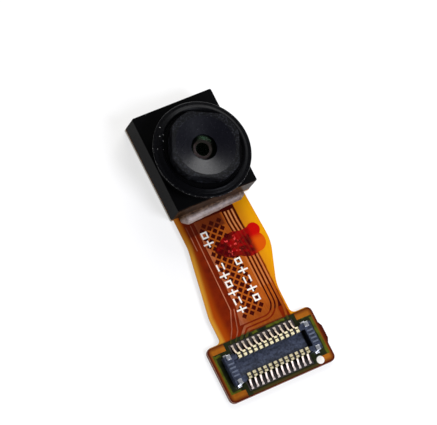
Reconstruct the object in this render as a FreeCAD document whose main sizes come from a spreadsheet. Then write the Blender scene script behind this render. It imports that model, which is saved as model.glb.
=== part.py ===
import FreeCAD, Part
import math
import os
import re
import Sketcher

# Camera module: a fixed-focus lens head on a short flexible printed circuit that
# ends in a board-to-board connector.
# Frame: the lens axis is the Z axis, +Z looks out of the lens, z = 0 is the level
# that both stiffeners rest on, and the flexible circuit runs off towards -Y.

Vector = FreeCAD.Vector
doc = FreeCAD.newDocument("camera_module")

# Driving sizes in millimetres

SIZES = {
    # stack of the flexible circuit
    "stiffener_thickness": 0.20,
    "cover_film_thickness": 0.025,
    "copper_thickness": 0.018,
    "base_film_thickness": 0.025,
    "relief_depth": 0.012,
    # lens holder block
    "holder_width": 6.0,
    "holder_back_margin": 0.87,
    "holder_height": 1.69,
    "holder_corner": 0.12,
    "holder_edge_chamfer": 0.05,
    "holder_wall": 0.45,
    "bond_line": 0.02,
    "cavity_depth": 0.65,
    "filter_recess_depth": 0.30,
    "filter_ledge": 0.45,
    "window_lip": 0.15,
    "window_ledge": 0.35,
    # round tower on the block
    "tower_margin": 0.05,
    "tower_height": 0.70,
    "ring_seat_width": 0.29,
    "ring_seat_height": 0.50,
    "tower_wall": 0.26,
    # sealing ring
    "ring_overhang": 0.38,
    "ring_height": 0.62,
    "ring_lip": 0.14,
    "ring_edge_rise": 0.30,
    "ring_crown_width": 0.32,
    # lens barrel
    "thread_clearance": 0.04,
    "focus_gap": 0.10,
    "head_gap": 0.05,
    "head_height": 0.70,
    "head_clearance": 0.18,
    "head_flat_depth": 0.24,
    "head_rim": 0.22,
    "head_turn": -26.5,
    "head_edge_chamfer": 0.04,
    "funnel_depth": 0.40,
    "aperture_lip": 0.12,
    # lens stack
    "lens_clearance": 0.01,
    "lens_hollow_depth": 0.10,
    "crown_inset": 0.06,
    "front_lens_thickness": 0.45,
    "front_lens_crown": 0.10,
    "front_lens_curve": 2.4,
    "stop_thickness": 0.05,
    "middle_lens_thickness": 0.45,
    "middle_lens_curve": 2.2,
    "spacer_thickness": 0.08,
    "rear_lens_thickness": 0.55,
    "rear_lens_curve": 3.2,
    "retainer_width": 0.45,
    # filter, sensor and what stands beside it
    "filter_thickness": 0.21,
    "filter_clearance": 0.05,
    "sensor_margin": 0.85,
    "sensor_thickness": 0.20,
    "wire_room": 0.60,
    "wire_pad_reach": 0.34,
    "wire_inset": 0.12,
    "wire_loop": 0.12,
    "wire_width": 0.03,
    "wire_margin": 0.26,
    "wire_count": 10,
    "capacitor_length": 0.60,
    "capacitor_width": 0.30,
    "capacitor_pitch": 1.10,
    "capacitor_count": 4,
    "capacitor_inset": 0.47,
    "capacitor_cap_rise": 0.02,
    # outline of the flexible circuit
    "film_inset": 0.05,
    "glue_inset": 0.07,
    "neck_left_inset": 0.14,
    "neck_right_inset": 0.50,
    "neck_right_bulge": 0.16,
    "neck_foot_left": 2.78,
    "neck_foot_right": 2.58,
    "neck_bend_radius": 3.0,
    "neck_foot_radius": 0.35,
    # tab under the connector, measured from its housing and its rows of tails
    "connector_shift": -0.98,
    "connector_reach": 13.65,
    "tab_side": 0.685,
    "tab_border": 0.33,
    "tab_corner": 0.38,
    "stub_height": 0.15,
    "stub_width": 1.50,
    # green solder mask on the tab
    "mask_side": 0.22,
    "mask_margin": 0.07,
    "mask_core_run": 0.50,
    "mask_wing_run": 0.42,
    "opening_run": 0.66,
    "opening_side": 0.25,
    "nail_opening_margin": 0.04,
    "nail_pad_margin": 0.02,
    # connector
    "contact_pitch": 0.40,
    "contacts_per_row": 12,
    "row_end": 1.085,
    "housing_width": 1.96,
    "housing_height": 0.45,
    "wall_step": 0.10,
    "wall_width": 0.28,
    "end_block_length": 0.78,
    "trough_end": 0.565,
    "trough_depth": 0.30,
    "slot_length": 0.20,
    "slot_depth": 0.08,
    "rib_width": 0.10,
    "rib_height": 0.03,
    "rib_length": 0.42,
    "rib_pitch": 0.27,
    "rib_count": 4,
    "strip_thickness": 0.05,
    "tail_width": 0.17,
    "tail_run": 0.47,
    "tail_foot": 0.17,
    "tail_rise": 0.17,
    "contact_width": 0.32,
    "contact_inner_reach": 0.25,
    "contact_outer_reach": 0.10,
    "nail_width": 0.30,
    "nail_inset": 0.325,
    "nail_foot": 0.16,
    "nail_lap": 0.28,
    "solder_reach": 0.12,
    "pad_width": 0.20,
    "pad_inset": 0.03,
    # copper pattern
    "trace_width": 0.17,
    "trace_gap": 0.10,
    "trace_turn_radius": 1.00,
    "trace_bend_radius": 0.25,
    "trace_shift": 0.18,
    "trace_shift_start": 4.60,
    "trace_shift_end": 6.60,
    "trace_lead_in": 0.25,
    "fine_trace_width": 0.08,
    "fine_trace_margin": 0.28,
    "fine_trace_drift": 0.14,
    "fine_trace_step": 0.35,
    "fine_stub_length": 1.75,
    "border_trace_margin": 0.17,
    "mesh_left": 1.72,
    "mesh_right": 0.42,
    "mesh_head_gap": 0.70,
    "mesh_tab_gap": 0.565,
    "mesh_pitch": 0.40,
    "mesh_line": 0.12,
    "mesh_border": 0.08,
    "mesh_foot_border": 0.26,
    "mesh_foot_spread": 0.30,
    "pour_margin": 0.40,
    "buried_trace_count": 12,
    "buried_trace_pitch": 0.28,
    # bead of adhesive along the foot of the block
    "bead_left_width": 0.72,
    "bead_right_width": 0.44,
    "bead_left_height": 0.34,
    "bead_right_height": 0.26,
    "bead_inset": 0.53,
    "bead_gap": 0.05,
    # ink
    "ink_thickness": 0.010,
    "dot_radius": 0.27,
    "dot_inset_x": 1.05,
    "dot_inset_y": 0.37,
    "mark_length": 0.74,
    "mark_stroke": 0.11,
    "left_mark_edge": 1.78,
    "left_mark_start": 4.52,
    "left_mark_count": 8,
    "left_marks_before_gap": 2,
    "right_mark_edge": 0.46,
    "right_mark_start": 6.92,
    "right_mark_count": 5,
    "blot_left": 1.28,
    "blot_right": 2.30,
    "blot_high": 5.15,
    "blot_low": 7.15,
}

# Heights and places worked out from the driving sizes, each from those above it

WORKED_OUT = {
    "holder_front": "holder_width / 2",
    "holder_back": "holder_width / 2 + holder_back_margin",
    "tower_radius": "holder_width / 2 - tower_margin",
    "ring_seat_radius": "tower_radius - ring_seat_width",
    "ring_radius": "tower_radius + ring_overhang",
    "bore_radius": "ring_seat_radius - tower_wall",
    "head_radius": "ring_seat_radius - head_clearance",
    "head_flat": "head_radius - head_flat_depth",
    "funnel_radius": "head_flat - head_rim",
    "base_bottom": "stiffener_thickness + cover_film_thickness + copper_thickness",
    "base_top": "base_bottom + base_film_thickness",
    "pad_top": "base_top + copper_thickness",
    "film_top": "pad_top + cover_film_thickness - relief_depth",
    "ridge_top": "film_top + relief_depth",
    "holder_bottom": "film_top + bond_line",
    "holder_top": "holder_bottom + holder_height",
    "cavity_top": "holder_bottom + cavity_depth",
    "recess_top": "cavity_top + filter_recess_depth",
    "bore_floor": "recess_top + window_lip",
    "ring_seat": "holder_top + tower_height",
    "tower_top": "ring_seat + ring_seat_height",
    "barrel_radius": "bore_radius - thread_clearance",
    "rear_lens_radius": "barrel_radius * 4 / 5",
    "middle_lens_radius": "rear_lens_radius * 4 / 5",
    "front_lens_radius": "middle_lens_radius * 4 / 5",
    "aperture_radius": "front_lens_radius * 5 / 7",
    "stop_hole": "aperture_radius / 2",
    "spacer_hole": "middle_lens_radius * 2 / 3",
    "retainer_hole": "rear_lens_radius - retainer_width",
    "barrel_bottom": "bore_floor + focus_gap",
    "barrel_shoulder": "tower_top + head_gap",
    "barrel_top": "barrel_shoulder + head_height",
    "funnel_bottom": "barrel_top - funnel_depth",
    "front_seat": "funnel_bottom - aperture_lip",
    "stop_top": "front_seat - front_lens_thickness",
    "middle_seat": "stop_top - stop_thickness",
    "spacer_top": "middle_seat - middle_lens_thickness",
    "rear_seat": "spacer_top - spacer_thickness",
    "retainer_top": "rear_seat - rear_lens_thickness",
    "cavity_half_width": "holder_width / 2 - holder_wall",
    "cavity_front": "holder_front - holder_wall",
    "cavity_back": "holder_back - holder_wall",
    "filter_width": "2 * (cavity_half_width - filter_ledge)",
    "window_width": "filter_width - 2 * window_ledge",
    "sensor_bottom": "base_top + bond_line",
    "sensor_top": "sensor_bottom + sensor_thickness",
    "sensor_width": "2 * (cavity_half_width - wire_room)",
    "sensor_length": "2 * (cavity_front - sensor_margin)",
    "wire_pitch": "(sensor_length - 2 * wire_margin) / (wire_count - 1)",
    "capacitor_row": "cavity_back - capacitor_inset",
    "row_span": "contact_pitch * (contacts_per_row - 1)",
    "first_contact": "connector_shift - row_span / 2",
    "housing_top": "film_top + housing_height",
    "housing_length": "row_span + 2 * row_end",
    "trough_length": "housing_length - 2 * trough_end",
    "wall_outer": "housing_width / 2 - wall_step",
    "wall_inner": "wall_outer - wall_width",
    "tail_reach": "housing_width / 2 + tail_run",
    "nail_place": "housing_length / 2 - nail_inset",
    "nail_pad_reach": "housing_width / 2 + nail_foot + nail_pad_margin",
    "opening_inner": "housing_width / 2",
    "opening_outer": "opening_inner + opening_run",
    "tab_width": "housing_length + 2 * tab_side",
    "tab_length": "2 * (opening_outer + tab_border)",
    "tab_left": "connector_shift - tab_width / 2",
    "tab_right": "connector_shift + tab_width / 2",
    "tab_near": "-connector_reach + tab_length / 2",
    "tab_far": "-connector_reach - tab_length / 2",
    "neck_length": "-tab_near - holder_front",
    "neck_left": "holder_width / 2 - neck_left_inset",
    "neck_left_bend": "holder_front + neck_length / 4",
    "neck_left_low": "neck_foot_left - connector_shift",
    "neck_left_low_bend": "holder_front + neck_length * 4 / 5",
    "neck_right": "holder_width / 2 - neck_right_inset",
    "neck_right_wide": "neck_right + neck_right_bulge",
    "neck_right_bend": "holder_front + neck_length * 3 / 7",
    "neck_right_low": "neck_foot_right + connector_shift",
    "neck_right_low_bend": "holder_front + neck_length * 3 / 4",
    "mesh_top": "holder_front + mesh_head_gap",
    "mesh_bottom": "-tab_near - mesh_tab_gap",
    "bead_end": "holder_width / 2 - bead_inset",
    "ridge_start": "-holder_front - bead_left_width - bead_gap",
    "left_mark_pitch": "neck_length / 14",
    "left_mark_gap": "neck_length / 8",
    "right_mark_pitch": "neck_length / 13",
    "mark_width": "left_mark_pitch * 3 / 4",
}

sheet = doc.addObject("Spreadsheet::Sheet", "Sizes")
for row, (name, number) in enumerate(SIZES.items(), start=1):
    sheet.set(f"A{row}", name)
    sheet.set(f"B{row}", str(number))
    sheet.setAlias(f"B{row}", name)
doc.recompute()

levels = doc.addObject("App::VarSet", "Levels")


def bound(text):
    """The expression with each size or level name turned into a reference to it."""
    def reference(match):
        word = match.group(0)
        if word in SIZES:
            return "Sizes." + word
        if word in WORKED_OUT:
            return "Levels." + word
        return word
    return re.sub(r"[a-z_]+[a-z_0-9]*", reference, str(text))


for name, text in WORKED_OUT.items():
    levels.addProperty("App::PropertyFloat", name)
    levels.setExpression(name, bound(text))
doc.recompute()


def size(name):
    """Number behind the name of a driving size or of a worked-out level."""
    if name in SIZES:
        return float(sheet.get(name))
    return float(getattr(levels, name))


# Helpers for bodies made of sketches

def origin_item(body, role):
    """Plane or axis of the body's own origin."""
    return [item for item in body.Origin.OriginFeatures if item.Role == role][0]


def new_body(label):
    body = doc.addObject("PartDesign::Body", label)
    body.Label = label
    return body


def new_sketch(body, plane="XY_Plane", offset=None, turn=None):
    """Sketch on one of the body's origin planes, moved along the plane's normal."""
    sketch = body.newObject("Sketcher::SketchObject", body.Name + "_sketch")
    sketch.AttachmentSupport = [(origin_item(body, plane), "")]
    sketch.MapMode = "FlatFace"
    if offset is not None:
        sketch.setExpression("AttachmentOffset.Base.z", bound(offset))
    if turn is not None:
        sketch.setExpression("AttachmentOffset.Rotation.Angle", bound(turn))
    return sketch


def tie(sketch, kind, places, text, guess):
    """One measured constraint that follows an expression."""
    index = sketch.addConstraint(Sketcher.Constraint(kind, *places, guess))
    sketch.setExpression(f"Constraints[{index}]", bound(text))


def add_polygon(sketch, points):
    """Closed outline through points, each a pair of expressions from the origin."""
    first = sketch.GeometryCount
    count = len(points)
    turn = 2 * math.pi / count
    corners = [Vector(math.cos(turn * i), math.sin(turn * i), 0) for i in range(count)]
    for i in range(count):
        sketch.addGeometry(Part.LineSegment(corners[i], corners[(i + 1) % count]))
    for i in range(count):
        following = first + (i + 1) % count
        sketch.addConstraint(Sketcher.Constraint("Coincident", first + i, 2, following, 1))
    for i, (across, along) in enumerate(points):
        tie(sketch, "DistanceX", (-1, 1, first + i, 1), across, corners[i].x)
        tie(sketch, "DistanceY", (-1, 1, first + i, 1), along, corners[i].y)


def add_rectangle(sketch, left, right, low, high):
    add_polygon(sketch, [(left, low), (right, low), (right, high), (left, high)])


def add_circle(sketch, radius, across="0", along="0"):
    index = sketch.addGeometry(Part.Circle(Vector(0, 0, 0), Vector(0, 0, 1), 1.0))
    tie(sketch, "Radius", (index,), radius, 1.0)
    if (across, along) == ("0", "0"):
        sketch.addConstraint(Sketcher.Constraint("Coincident", index, 3, -1, 1))
        return
    tie(sketch, "DistanceX", (-1, 1, index, 3), across, 0.5)
    tie(sketch, "DistanceY", (-1, 1, index, 3), along, 0.5)


def pad(body, sketch, length, centred=False):
    feature = body.newObject("PartDesign::Pad", body.Name + "_pad")
    feature.Profile = sketch
    feature.setExpression("Length", bound(length))
    if centred:
        feature.SideType = "Symmetric"
    doc.recompute()
    return feature


def pocket(body, sketch, depth):
    """Pocket cut downwards from the sketch, checked to take material away."""
    before = body.Shape.Volume
    feature = body.newObject("PartDesign::Pocket", body.Name + "_pocket")
    feature.Profile = sketch
    feature.setExpression("Length", bound(depth))
    doc.recompute()
    if body.Shape.Volume >= before:
        raise ValueError(f"a pocket in {body.Label} cuts nothing")
    return feature


def revolve(body, sketch):
    feature = body.newObject("PartDesign::Revolution", body.Name + "_turned")
    feature.Profile = sketch
    feature.ReferenceAxis = (sketch, ["V_Axis"])
    feature.Angle = 360.0
    doc.recompute()
    return feature


def row_of(body, originals, axis, span, count):
    """Straight row of copies of the given features."""
    feature = body.newObject("PartDesign::LinearPattern", body.Name + "_row")
    feature.Originals = originals
    feature.Direction = (origin_item(body, axis), [""])
    feature.setExpression("Length", bound(span))
    feature.setExpression("Occurrences", bound(count))
    body.Tip = feature
    doc.recompute()
    return feature


def upright_edges(shape, corners):
    """Names of the upright edges that stand on the given corners."""
    names = []
    for number, edge in enumerate(shape.Edges, start=1):
        low, high = edge.Vertexes[0].Point, edge.Vertexes[-1].Point
        upright = abs(low.x - high.x) < 1e-6 and abs(low.y - high.y) < 1e-6
        if not upright or abs(low.z - high.z) < 1e-6:
            continue
        if any(math.hypot(low.x - c.x, low.y - c.y) < 1e-4 for c in corners):
            names.append(f"Edge{number}")
    return names


def round_corners(body, sketch, numbers, radius):
    """Rounds the upright edges over the numbered corners of the sketch."""
    corners = [sketch.Geometry[number].StartPoint for number in numbers]
    base = body.Tip
    feature = body.newObject("PartDesign::Fillet", body.Name + "_round")
    feature.Base = (base, upright_edges(base.Shape, corners))
    feature.setExpression("Radius", bound(radius))
    doc.recompute()
    return feature


def chamfer_loop(body, height, sizing, keep=lambda edge: True):
    """Chamfers the level edges of the body at one height."""
    base = body.Tip
    names = []
    for number, edge in enumerate(base.Shape.Edges, start=1):
        box = edge.BoundBox
        if abs(box.ZMin - height) < 1e-5 and abs(box.ZMax - height) < 1e-5 and keep(edge):
            names.append(f"Edge{number}")
    feature = body.newObject("PartDesign::Chamfer", body.Name + "_chamfer")
    feature.Base = (base, names)
    feature.setExpression("Size", bound(sizing))
    doc.recompute()
    return feature


# Helpers for primitives and booleans

def add_box(label, left, low, bottom, across, along, tall):
    """Block with its least corner at (left, low, bottom)."""
    box = doc.addObject("Part::Box", label)
    box.Label = label
    box.setExpression("Placement.Base.x", bound(left))
    box.setExpression("Placement.Base.y", bound(low))
    box.setExpression("Placement.Base.z", bound(bottom))
    box.setExpression("Length", bound(across))
    box.setExpression("Width", bound(along))
    box.setExpression("Height", bound(tall))
    return box


def add_cylinder(label, radius, bottom, tall, across="0", along="0"):
    cylinder = doc.addObject("Part::Cylinder", label)
    cylinder.Label = label
    cylinder.setExpression("Radius", bound(radius))
    cylinder.setExpression("Height", bound(tall))
    cylinder.setExpression("Placement.Base.x", bound(across))
    cylinder.setExpression("Placement.Base.y", bound(along))
    cylinder.setExpression("Placement.Base.z", bound(bottom))
    return cylinder


def add_ball(label, radius, centre):
    """Ball on the lens axis."""
    ball = doc.addObject("Part::Sphere", label)
    ball.Label = label
    ball.setExpression("Radius", bound(radius))
    ball.setExpression("Placement.Base.z", bound(centre))
    return ball


def combine(kind, label, base, tool):
    result = doc.addObject(kind, label)
    result.Label = label
    result.Base = base
    result.Tool = tool
    return result


def cut(label, base, tool):
    return combine("Part::Cut", label, base, tool)


def fuse(label, base, tool):
    return combine("Part::Fuse", label, base, tool)


def common(label, base, tool):
    return combine("Part::Common", label, base, tool)


# Stiffeners

def make_head_stiffener():
    """Steel plate under the lens block."""
    body = new_body("head_stiffener")
    sketch = new_sketch(body)
    add_rectangle(sketch, "-holder_width / 2", "holder_width / 2", "-holder_front", "holder_back")
    pad(body, sketch, "stiffener_thickness")
    round_corners(body, sketch, range(4), "holder_corner")
    return body


def tab_outline():
    """Corners of the tab from its near left corner, anticlockwise, with the tie-bar stub."""
    stub_low = "-connector_reach - stub_width / 2"
    stub_high = "-connector_reach + stub_width / 2"
    return [
        ("tab_left", "tab_near"),
        ("tab_left", "tab_far"),
        ("tab_right", "tab_far"),
        ("tab_right", stub_low),
        ("tab_right + stub_height", stub_low + " + 2 * stub_height"),
        ("tab_right + stub_height", stub_high + " - 2 * stub_height"),
        ("tab_right", stub_high),
        ("tab_right", "tab_near"),
    ]


def make_connector_stiffener():
    """Rigid plate under the tab."""
    body = new_body("connector_stiffener")
    sketch = new_sketch(body)
    add_polygon(sketch, tab_outline())
    pad(body, sketch, "stiffener_thickness")
    round_corners(body, sketch, (0, 1, 2, 7), "tab_corner")
    return body


# Films of the flexible circuit

def film_body(label, bottom, thickness):
    """Film with the whole outline: head, neck and tab."""
    head_side = "holder_width / 2 - film_inset"
    points = [
        ("-(" + head_side + ")", "holder_back - film_inset"),
        ("-(" + head_side + ")", "-holder_front"),
        ("-neck_left", "-holder_front"),
        ("-neck_left", "-neck_left_bend"),
        ("-neck_left_low", "-neck_left_low_bend"),
        ("-neck_left_low", "tab_near"),
    ]
    points += tab_outline()
    points += [
        ("neck_right_low", "tab_near"),
        ("neck_right_low", "-neck_right_low_bend"),
        ("neck_right_wide", "-neck_right_bend"),
        ("neck_right", "-holder_front"),
        (head_side, "-holder_front"),
        (head_side, "holder_back - film_inset"),
    ]
    body = new_body(label)
    sketch = new_sketch(body, offset=bottom)
    add_polygon(sketch, points)
    pad(body, sketch, thickness)
    round_corners(body, sketch, (6, 7, 8, 13), "tab_corner")
    round_corners(body, sketch, (3, 4, 15, 16), "neck_bend_radius")
    round_corners(body, sketch, (5, 14), "neck_foot_radius")
    return body


# Copper

def flat_ribbon(points, width):
    """Face of a track, square at both ends. Each point is (x, y, radius of the bend there),
    and a bend of no radius is mitred."""
    half = width / 2
    path = [Vector(x, y, 0) for x, y, bend in points]
    bends = [bend for x, y, bend in points]
    ways = [(b - a).normalize() for a, b in zip(path, path[1:])]
    sides = [Vector(-way.y, way.x, 0) for way in ways]

    def side_edges(sign):
        edges = []
        last = path[0] + sides[0] * (sign * half)
        for i in range(1, len(path) - 1):
            before, after = sides[i - 1], sides[i]
            if bends[i] == 0:
                corner = path[i] + (before + after) * (sign * half / (1 + before.dot(after)))
                edges.append(Part.LineSegment(last, corner).toShape())
                last = corner
                continue
            turn = math.atan2(ways[i - 1].cross(ways[i]).z, ways[i - 1].dot(ways[i]))
            reach = bends[i] * math.tan(abs(turn) / 2)
            start = path[i] - ways[i - 1] * reach + before * (sign * half)
            end = path[i] + ways[i] * reach + after * (sign * half)
            centre = path[i] - ways[i - 1] * reach + before * math.copysign(bends[i], turn)
            middle = centre + ((start + end) / 2 - centre).normalize() * (start - centre).Length
            edges.append(Part.LineSegment(last, start).toShape())
            edges.append(Part.Arc(start, middle, end).toShape())
            last = end
        edges.append(Part.LineSegment(last, path[-1] + sides[-1] * (sign * half)).toShape())
        return edges

    left, right = side_edges(1), side_edges(-1)
    caps = [
        Part.LineSegment(left[0].Vertexes[0].Point, right[0].Vertexes[0].Point).toShape(),
        Part.LineSegment(left[-1].Vertexes[-1].Point, right[-1].Vertexes[-1].Point).toShape(),
    ]
    return Part.Face(Part.Wire(Part.__sortEdges__(left + right + caps)))


def flat_rectangle(left, right, low, high):
    corners = [(left, low), (right, low), (right, high), (left, high), (left, low)]
    return Part.Face(Part.makePolygon([Vector(x, y, 0) for x, y in corners]))


def contact_place(number):
    """Place along X of a contact, counted from zero at the left."""
    return size("first_contact") + number * size("contact_pitch")


def turn_centre():
    """Centre of the turn that two tracks, the mesh's corner and the ground area share."""
    half = size("trace_gap") + size("trace_width") / 2
    radius = size("trace_turn_radius")
    across = size("mesh_right") + half + size("trace_shift") - radius
    return Vector(across, radius - size("mesh_bottom") - half, 0)


def wide_traces():
    """Centre lines of the tracks on the right: two turn along the tab, one runs straight on."""
    step = size("trace_width") + size("trace_gap")
    centre = turn_centre()
    start, near = size("ridge_start"), size("tab_near")
    pad_end = -size("connector_reach") + size("opening_inner")
    lead_in = size("trace_lead_in")
    last = int(size("contacts_per_row")) - 1
    paths = []
    for number in range(3):
        radius = size("trace_turn_radius") + number * step
        shifted = centre.x + radius
        across = shifted - size("trace_shift")
        path = [
            (across, start, 0),
            (across, -size("trace_shift_start"), 0),
            (shifted, -size("trace_shift_end"), 0),
        ]
        if number < 2:
            pad = contact_place(number + 2)
            level = centre.y - radius
            path.append((shifted, level, radius))
            path.append((pad + level - near + lead_in, level, size("trace_bend_radius")))
            path.append((pad, near - lead_in, 0))
        else:
            pad = contact_place(last)
            path.append((shifted, -size("mesh_bottom"), 0))
            path.append((pad, near, 0))
        path.append((pad, pad_end, 0))
        paths.append(path)
    return paths


def ground_area():
    """Area of copper between the second track's turn, the third track and the tab."""
    step = size("trace_width") + size("trace_gap")
    centre = turn_centre()
    radius = size("trace_turn_radius") + step
    left = centre.x - size("trace_turn_radius")
    right = centre.x + radius + step - size("pour_margin")
    whole = flat_rectangle(left, right, size("tab_near"), centre.y)
    disc = Part.Face(Part.Wire(Part.makeCircle(radius, centre)))
    beside = flat_rectangle(left, centre.x, centre.y - radius, centre.y)
    return whole.cut(disc).cut(beside).Faces[0]


def fine_traces():
    """Centre lines of the narrow tracks on the left: a long one, one that leaves the mesh's
    border near the tab, and a short stub beside the lens block."""
    start, near = size("ridge_start"), size("tab_near")
    pad_end = -size("connector_reach") + size("opening_inner")
    lead_in, step = size("trace_lead_in"), size("fine_trace_step")
    outer = -size("mesh_left") - size("fine_trace_margin")
    drifted = outer - size("fine_trace_drift")
    border = -size("mesh_left") - size("border_trace_margin")
    turn = -size("mesh_bottom")
    first, second = contact_place(0), contact_place(1)
    return [
        [
            (outer, start, 0),
            (drifted, -size("neck_left_low_bend"), 0),
            ((drifted + first) / 2, turn, 0),
            (first, near - lead_in, 0),
            (first, pad_end, 0),
        ],
        [
            (border, -size("neck_left_low_bend"), 0),
            ((border + second) / 2, turn - lead_in, 0),
            (second, near - lead_in, 0),
            (second, pad_end, 0),
        ],
        [
            (outer - step, start, 0),
            (outer - step, start - size("fine_stub_length"), 0),
        ],
    ]


def track_faces():
    """Visible tracks without their pads, and the ground area beside them."""
    wide, fine = size("trace_width"), size("fine_trace_width")
    faces = [flat_ribbon(path, wide) for path in wide_traces()]
    faces += [flat_ribbon(path, fine) for path in fine_traces()]
    return faces + [ground_area()]


def pad_faces():
    """Solder pads under the contact tails and the fixing nails."""
    centre = -size("connector_reach")
    inner = size("opening_inner") + size("pad_inset")
    outer = size("opening_outer") - size("pad_inset")
    half = size("pad_width") / 2
    faces = []
    for side in (1, -1):
        low, high = sorted((centre + side * inner, centre + side * outer))
        for number in range(int(size("contacts_per_row"))):
            across = contact_place(number)
            faces.append(flat_rectangle(across - half, across + half, low, high))
        nail_end = centre + side * size("nail_pad_reach")
        nail_low, nail_high = sorted((centre + side * inner, nail_end))
        for hand in (1, -1):
            across = size("connector_shift") + hand * size("nail_place")
            wide = size("nail_width") / 2
            faces.append(flat_rectangle(across - wide, across + wide, nail_low, nail_high))
    return faces


def mesh_outline():
    """Edge of the ground mesh. It widens beside the tracks and its corner follows their turn."""
    left, right = -size("mesh_left"), size("mesh_right")
    low, high = -size("mesh_bottom"), -size("mesh_top")
    wide, foot = right + size("trace_shift"), left - size("mesh_foot_spread")
    centre = turn_centre()
    radius = wide - centre.x
    slant = radius / math.sqrt(2)
    arc = Part.Arc(Vector(centre.x, low, 0), Vector(centre.x + slant, centre.y - slant, 0),
                   Vector(wide, centre.y, 0)).toShape()
    corners = [
        (wide, centre.y), (wide, -size("trace_shift_end")), (right, -size("trace_shift_start")),
        (right, high), (left, high), (left, -size("neck_left_low_bend")), (foot, low),
        (centre.x, low),
    ]
    rest = Part.makePolygon([Vector(x, y, 0) for x, y in corners])
    return Part.Wire([arc] + rest.Edges)


def mesh_face():
    """Ground mesh: a field with diamond openings between its slanting lines."""
    left, right, high = -size("mesh_left"), size("mesh_right"), -size("mesh_top")
    low = -size("mesh_bottom") + size("mesh_foot_border")
    spacing = size("mesh_pitch") * math.sqrt(2)
    reach = (size("mesh_pitch") - size("mesh_line")) / math.sqrt(2)
    border = size("mesh_border")
    holes = []
    rows = int((high - low) / (spacing / 2)) + 2
    columns = int((right - left) / spacing) + 2
    for row in range(rows):
        along = low + reach + row * spacing / 2
        for column in range(columns):
            across = left + border + reach + (column + 0.5 * (row % 2)) * spacing
            inside_x = across + reach <= right - border
            inside_y = along + reach <= high - border
            if not (inside_x and inside_y):
                continue
            corners = [(reach, 0), (0, reach), (-reach, 0), (0, -reach), (reach, 0)]
            wire = Part.makePolygon([Vector(across + x, along + y, 0) for x, y in corners])
            holes.append(wire)
    return Part.makeFace([mesh_outline()] + holes, "Part::FaceMakerBullseye")


def lifted(face, bottom, thickness):
    """Solid above a flat face."""
    raised = face.copy()
    raised.translate(Vector(0, 0, bottom))
    return raised.extrude(Vector(0, 0, thickness))


def add_feature(label, shape):
    feature = doc.addObject("Part::Feature", label)
    feature.Label = label
    feature.Shape = shape
    return feature


def joined(solids):
    """Solids that touch made one, the others kept apart."""
    return solids[0].fuse(solids[1:]).removeSplitter()


def make_signal_traces():
    bottom, thickness = size("base_top"), size("copper_thickness")
    solids = [lifted(face, bottom, thickness) for face in track_faces() + pad_faces()]
    return add_feature("signal_traces", joined(solids))


def make_ground_mesh():
    shape = lifted(mesh_face(), size("base_top"), size("copper_thickness"))
    return add_feature("ground_mesh", shape)


def make_bottom_traces():
    """Straight tracks on the hidden side."""
    count = int(size("buried_trace_count"))
    pitch = size("buried_trace_pitch")
    bottom = size("stiffener_thickness") + size("cover_film_thickness")
    low, high = -size("connector_reach") + size("wall_outer"), -size("cavity_front")
    half = size("trace_width") / 2
    solids = []
    for number in range(count):
        across = size("connector_shift") + (number - (count - 1) / 2) * pitch
        face = flat_rectangle(across - half, across + half, low, high)
        solids.append(lifted(face, bottom, size("copper_thickness")))
    return add_feature("bottom_traces", Part.makeCompound(solids))


# Films round the copper

def mask_points():
    """Cross-shaped field of the solder mask."""
    core_left = "first_contact - mask_core_run"
    core_right = "first_contact + row_span + mask_core_run"
    wing_left = "tab_left + mask_side"
    wing_right = "tab_right - mask_side"
    wing_low = "-connector_reach - housing_width / 2 - mask_wing_run"
    wing_high = "-connector_reach + housing_width / 2 + mask_wing_run"
    low = "tab_far + mask_margin"
    high = "tab_near - mask_margin"
    return [
        (core_left, high), (core_left, wing_high), (wing_left, wing_high),
        (wing_left, wing_low), (core_left, wing_low), (core_left, low),
        (core_right, low), (core_right, wing_low), (wing_right, wing_low),
        (wing_right, wing_high), (core_right, wing_high), (core_right, high),
    ]


def make_top_coverlay(traces):
    """Upper film, raised over the tracks and open over the sensor and the solder mask. It
    bridges the openings of the mesh."""
    film = film_body("top_film", "base_top", "film_top - base_top")
    window = new_sketch(film, offset="film_top")
    add_polygon(window, mask_points())
    pocket(film, window, "film_top - base_top")
    sensor_window = new_sketch(film, offset="film_top")
    add_rectangle(sensor_window, "-cavity_half_width", "cavity_half_width",
                  "-cavity_front", "cavity_back")
    pocket(film, sensor_window, "film_top - base_top")
    bottom, relief = size("film_top"), size("relief_depth")
    raised = [lifted(face, bottom, relief) for face in track_faces()]
    neck_end = size("tab_near") - size("mask_margin")
    neck_face = flat_rectangle(size("tab_left"), size("tab_right"), neck_end,
                               size("ridge_start"))
    neck = lifted(neck_face, bottom, relief)
    ridges = add_feature("film_ridges", joined([solid.common(neck) for solid in raised]))
    blank = fuse("coverlay_blank", film, ridges)
    mesh_room = add_feature("mesh_room", lifted(Part.Face(mesh_outline()), size("base_top"),
                                                size("copper_thickness")))
    over_mesh = cut("coverlay_over_mesh", blank, mesh_room)
    return cut("top_coverlay", over_mesh, traces)


def make_solder_mask(traces):
    """Green resist on the tab, open along each row of tails and under each nail's foot."""
    body = new_body("mask_field")
    sketch = new_sketch(body, offset="base_top")
    add_polygon(sketch, mask_points())
    pad(body, sketch, "film_top - base_top")
    for side in ("+", "-"):
        opening = new_sketch(body, offset="film_top")
        inner = f"-connector_reach {side} opening_inner"
        outer = f"-connector_reach {side} opening_outer"
        nail_end = f"-connector_reach {side} (nail_pad_reach + nail_opening_margin)"
        add_rectangle(opening, "first_contact - opening_side",
                      "first_contact + row_span + opening_side", inner, outer)
        for hand in ("-", "+"):
            middle = f"connector_shift {hand} nail_place"
            half = "(nail_width / 2 + nail_opening_margin)"
            add_rectangle(opening, f"{middle} - {half}", f"{middle} + {half}", inner, nail_end)
        pocket(body, opening, "film_top - base_top")
    return cut("solder_mask", body, traces)


# Lens block and what it carries

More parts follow.
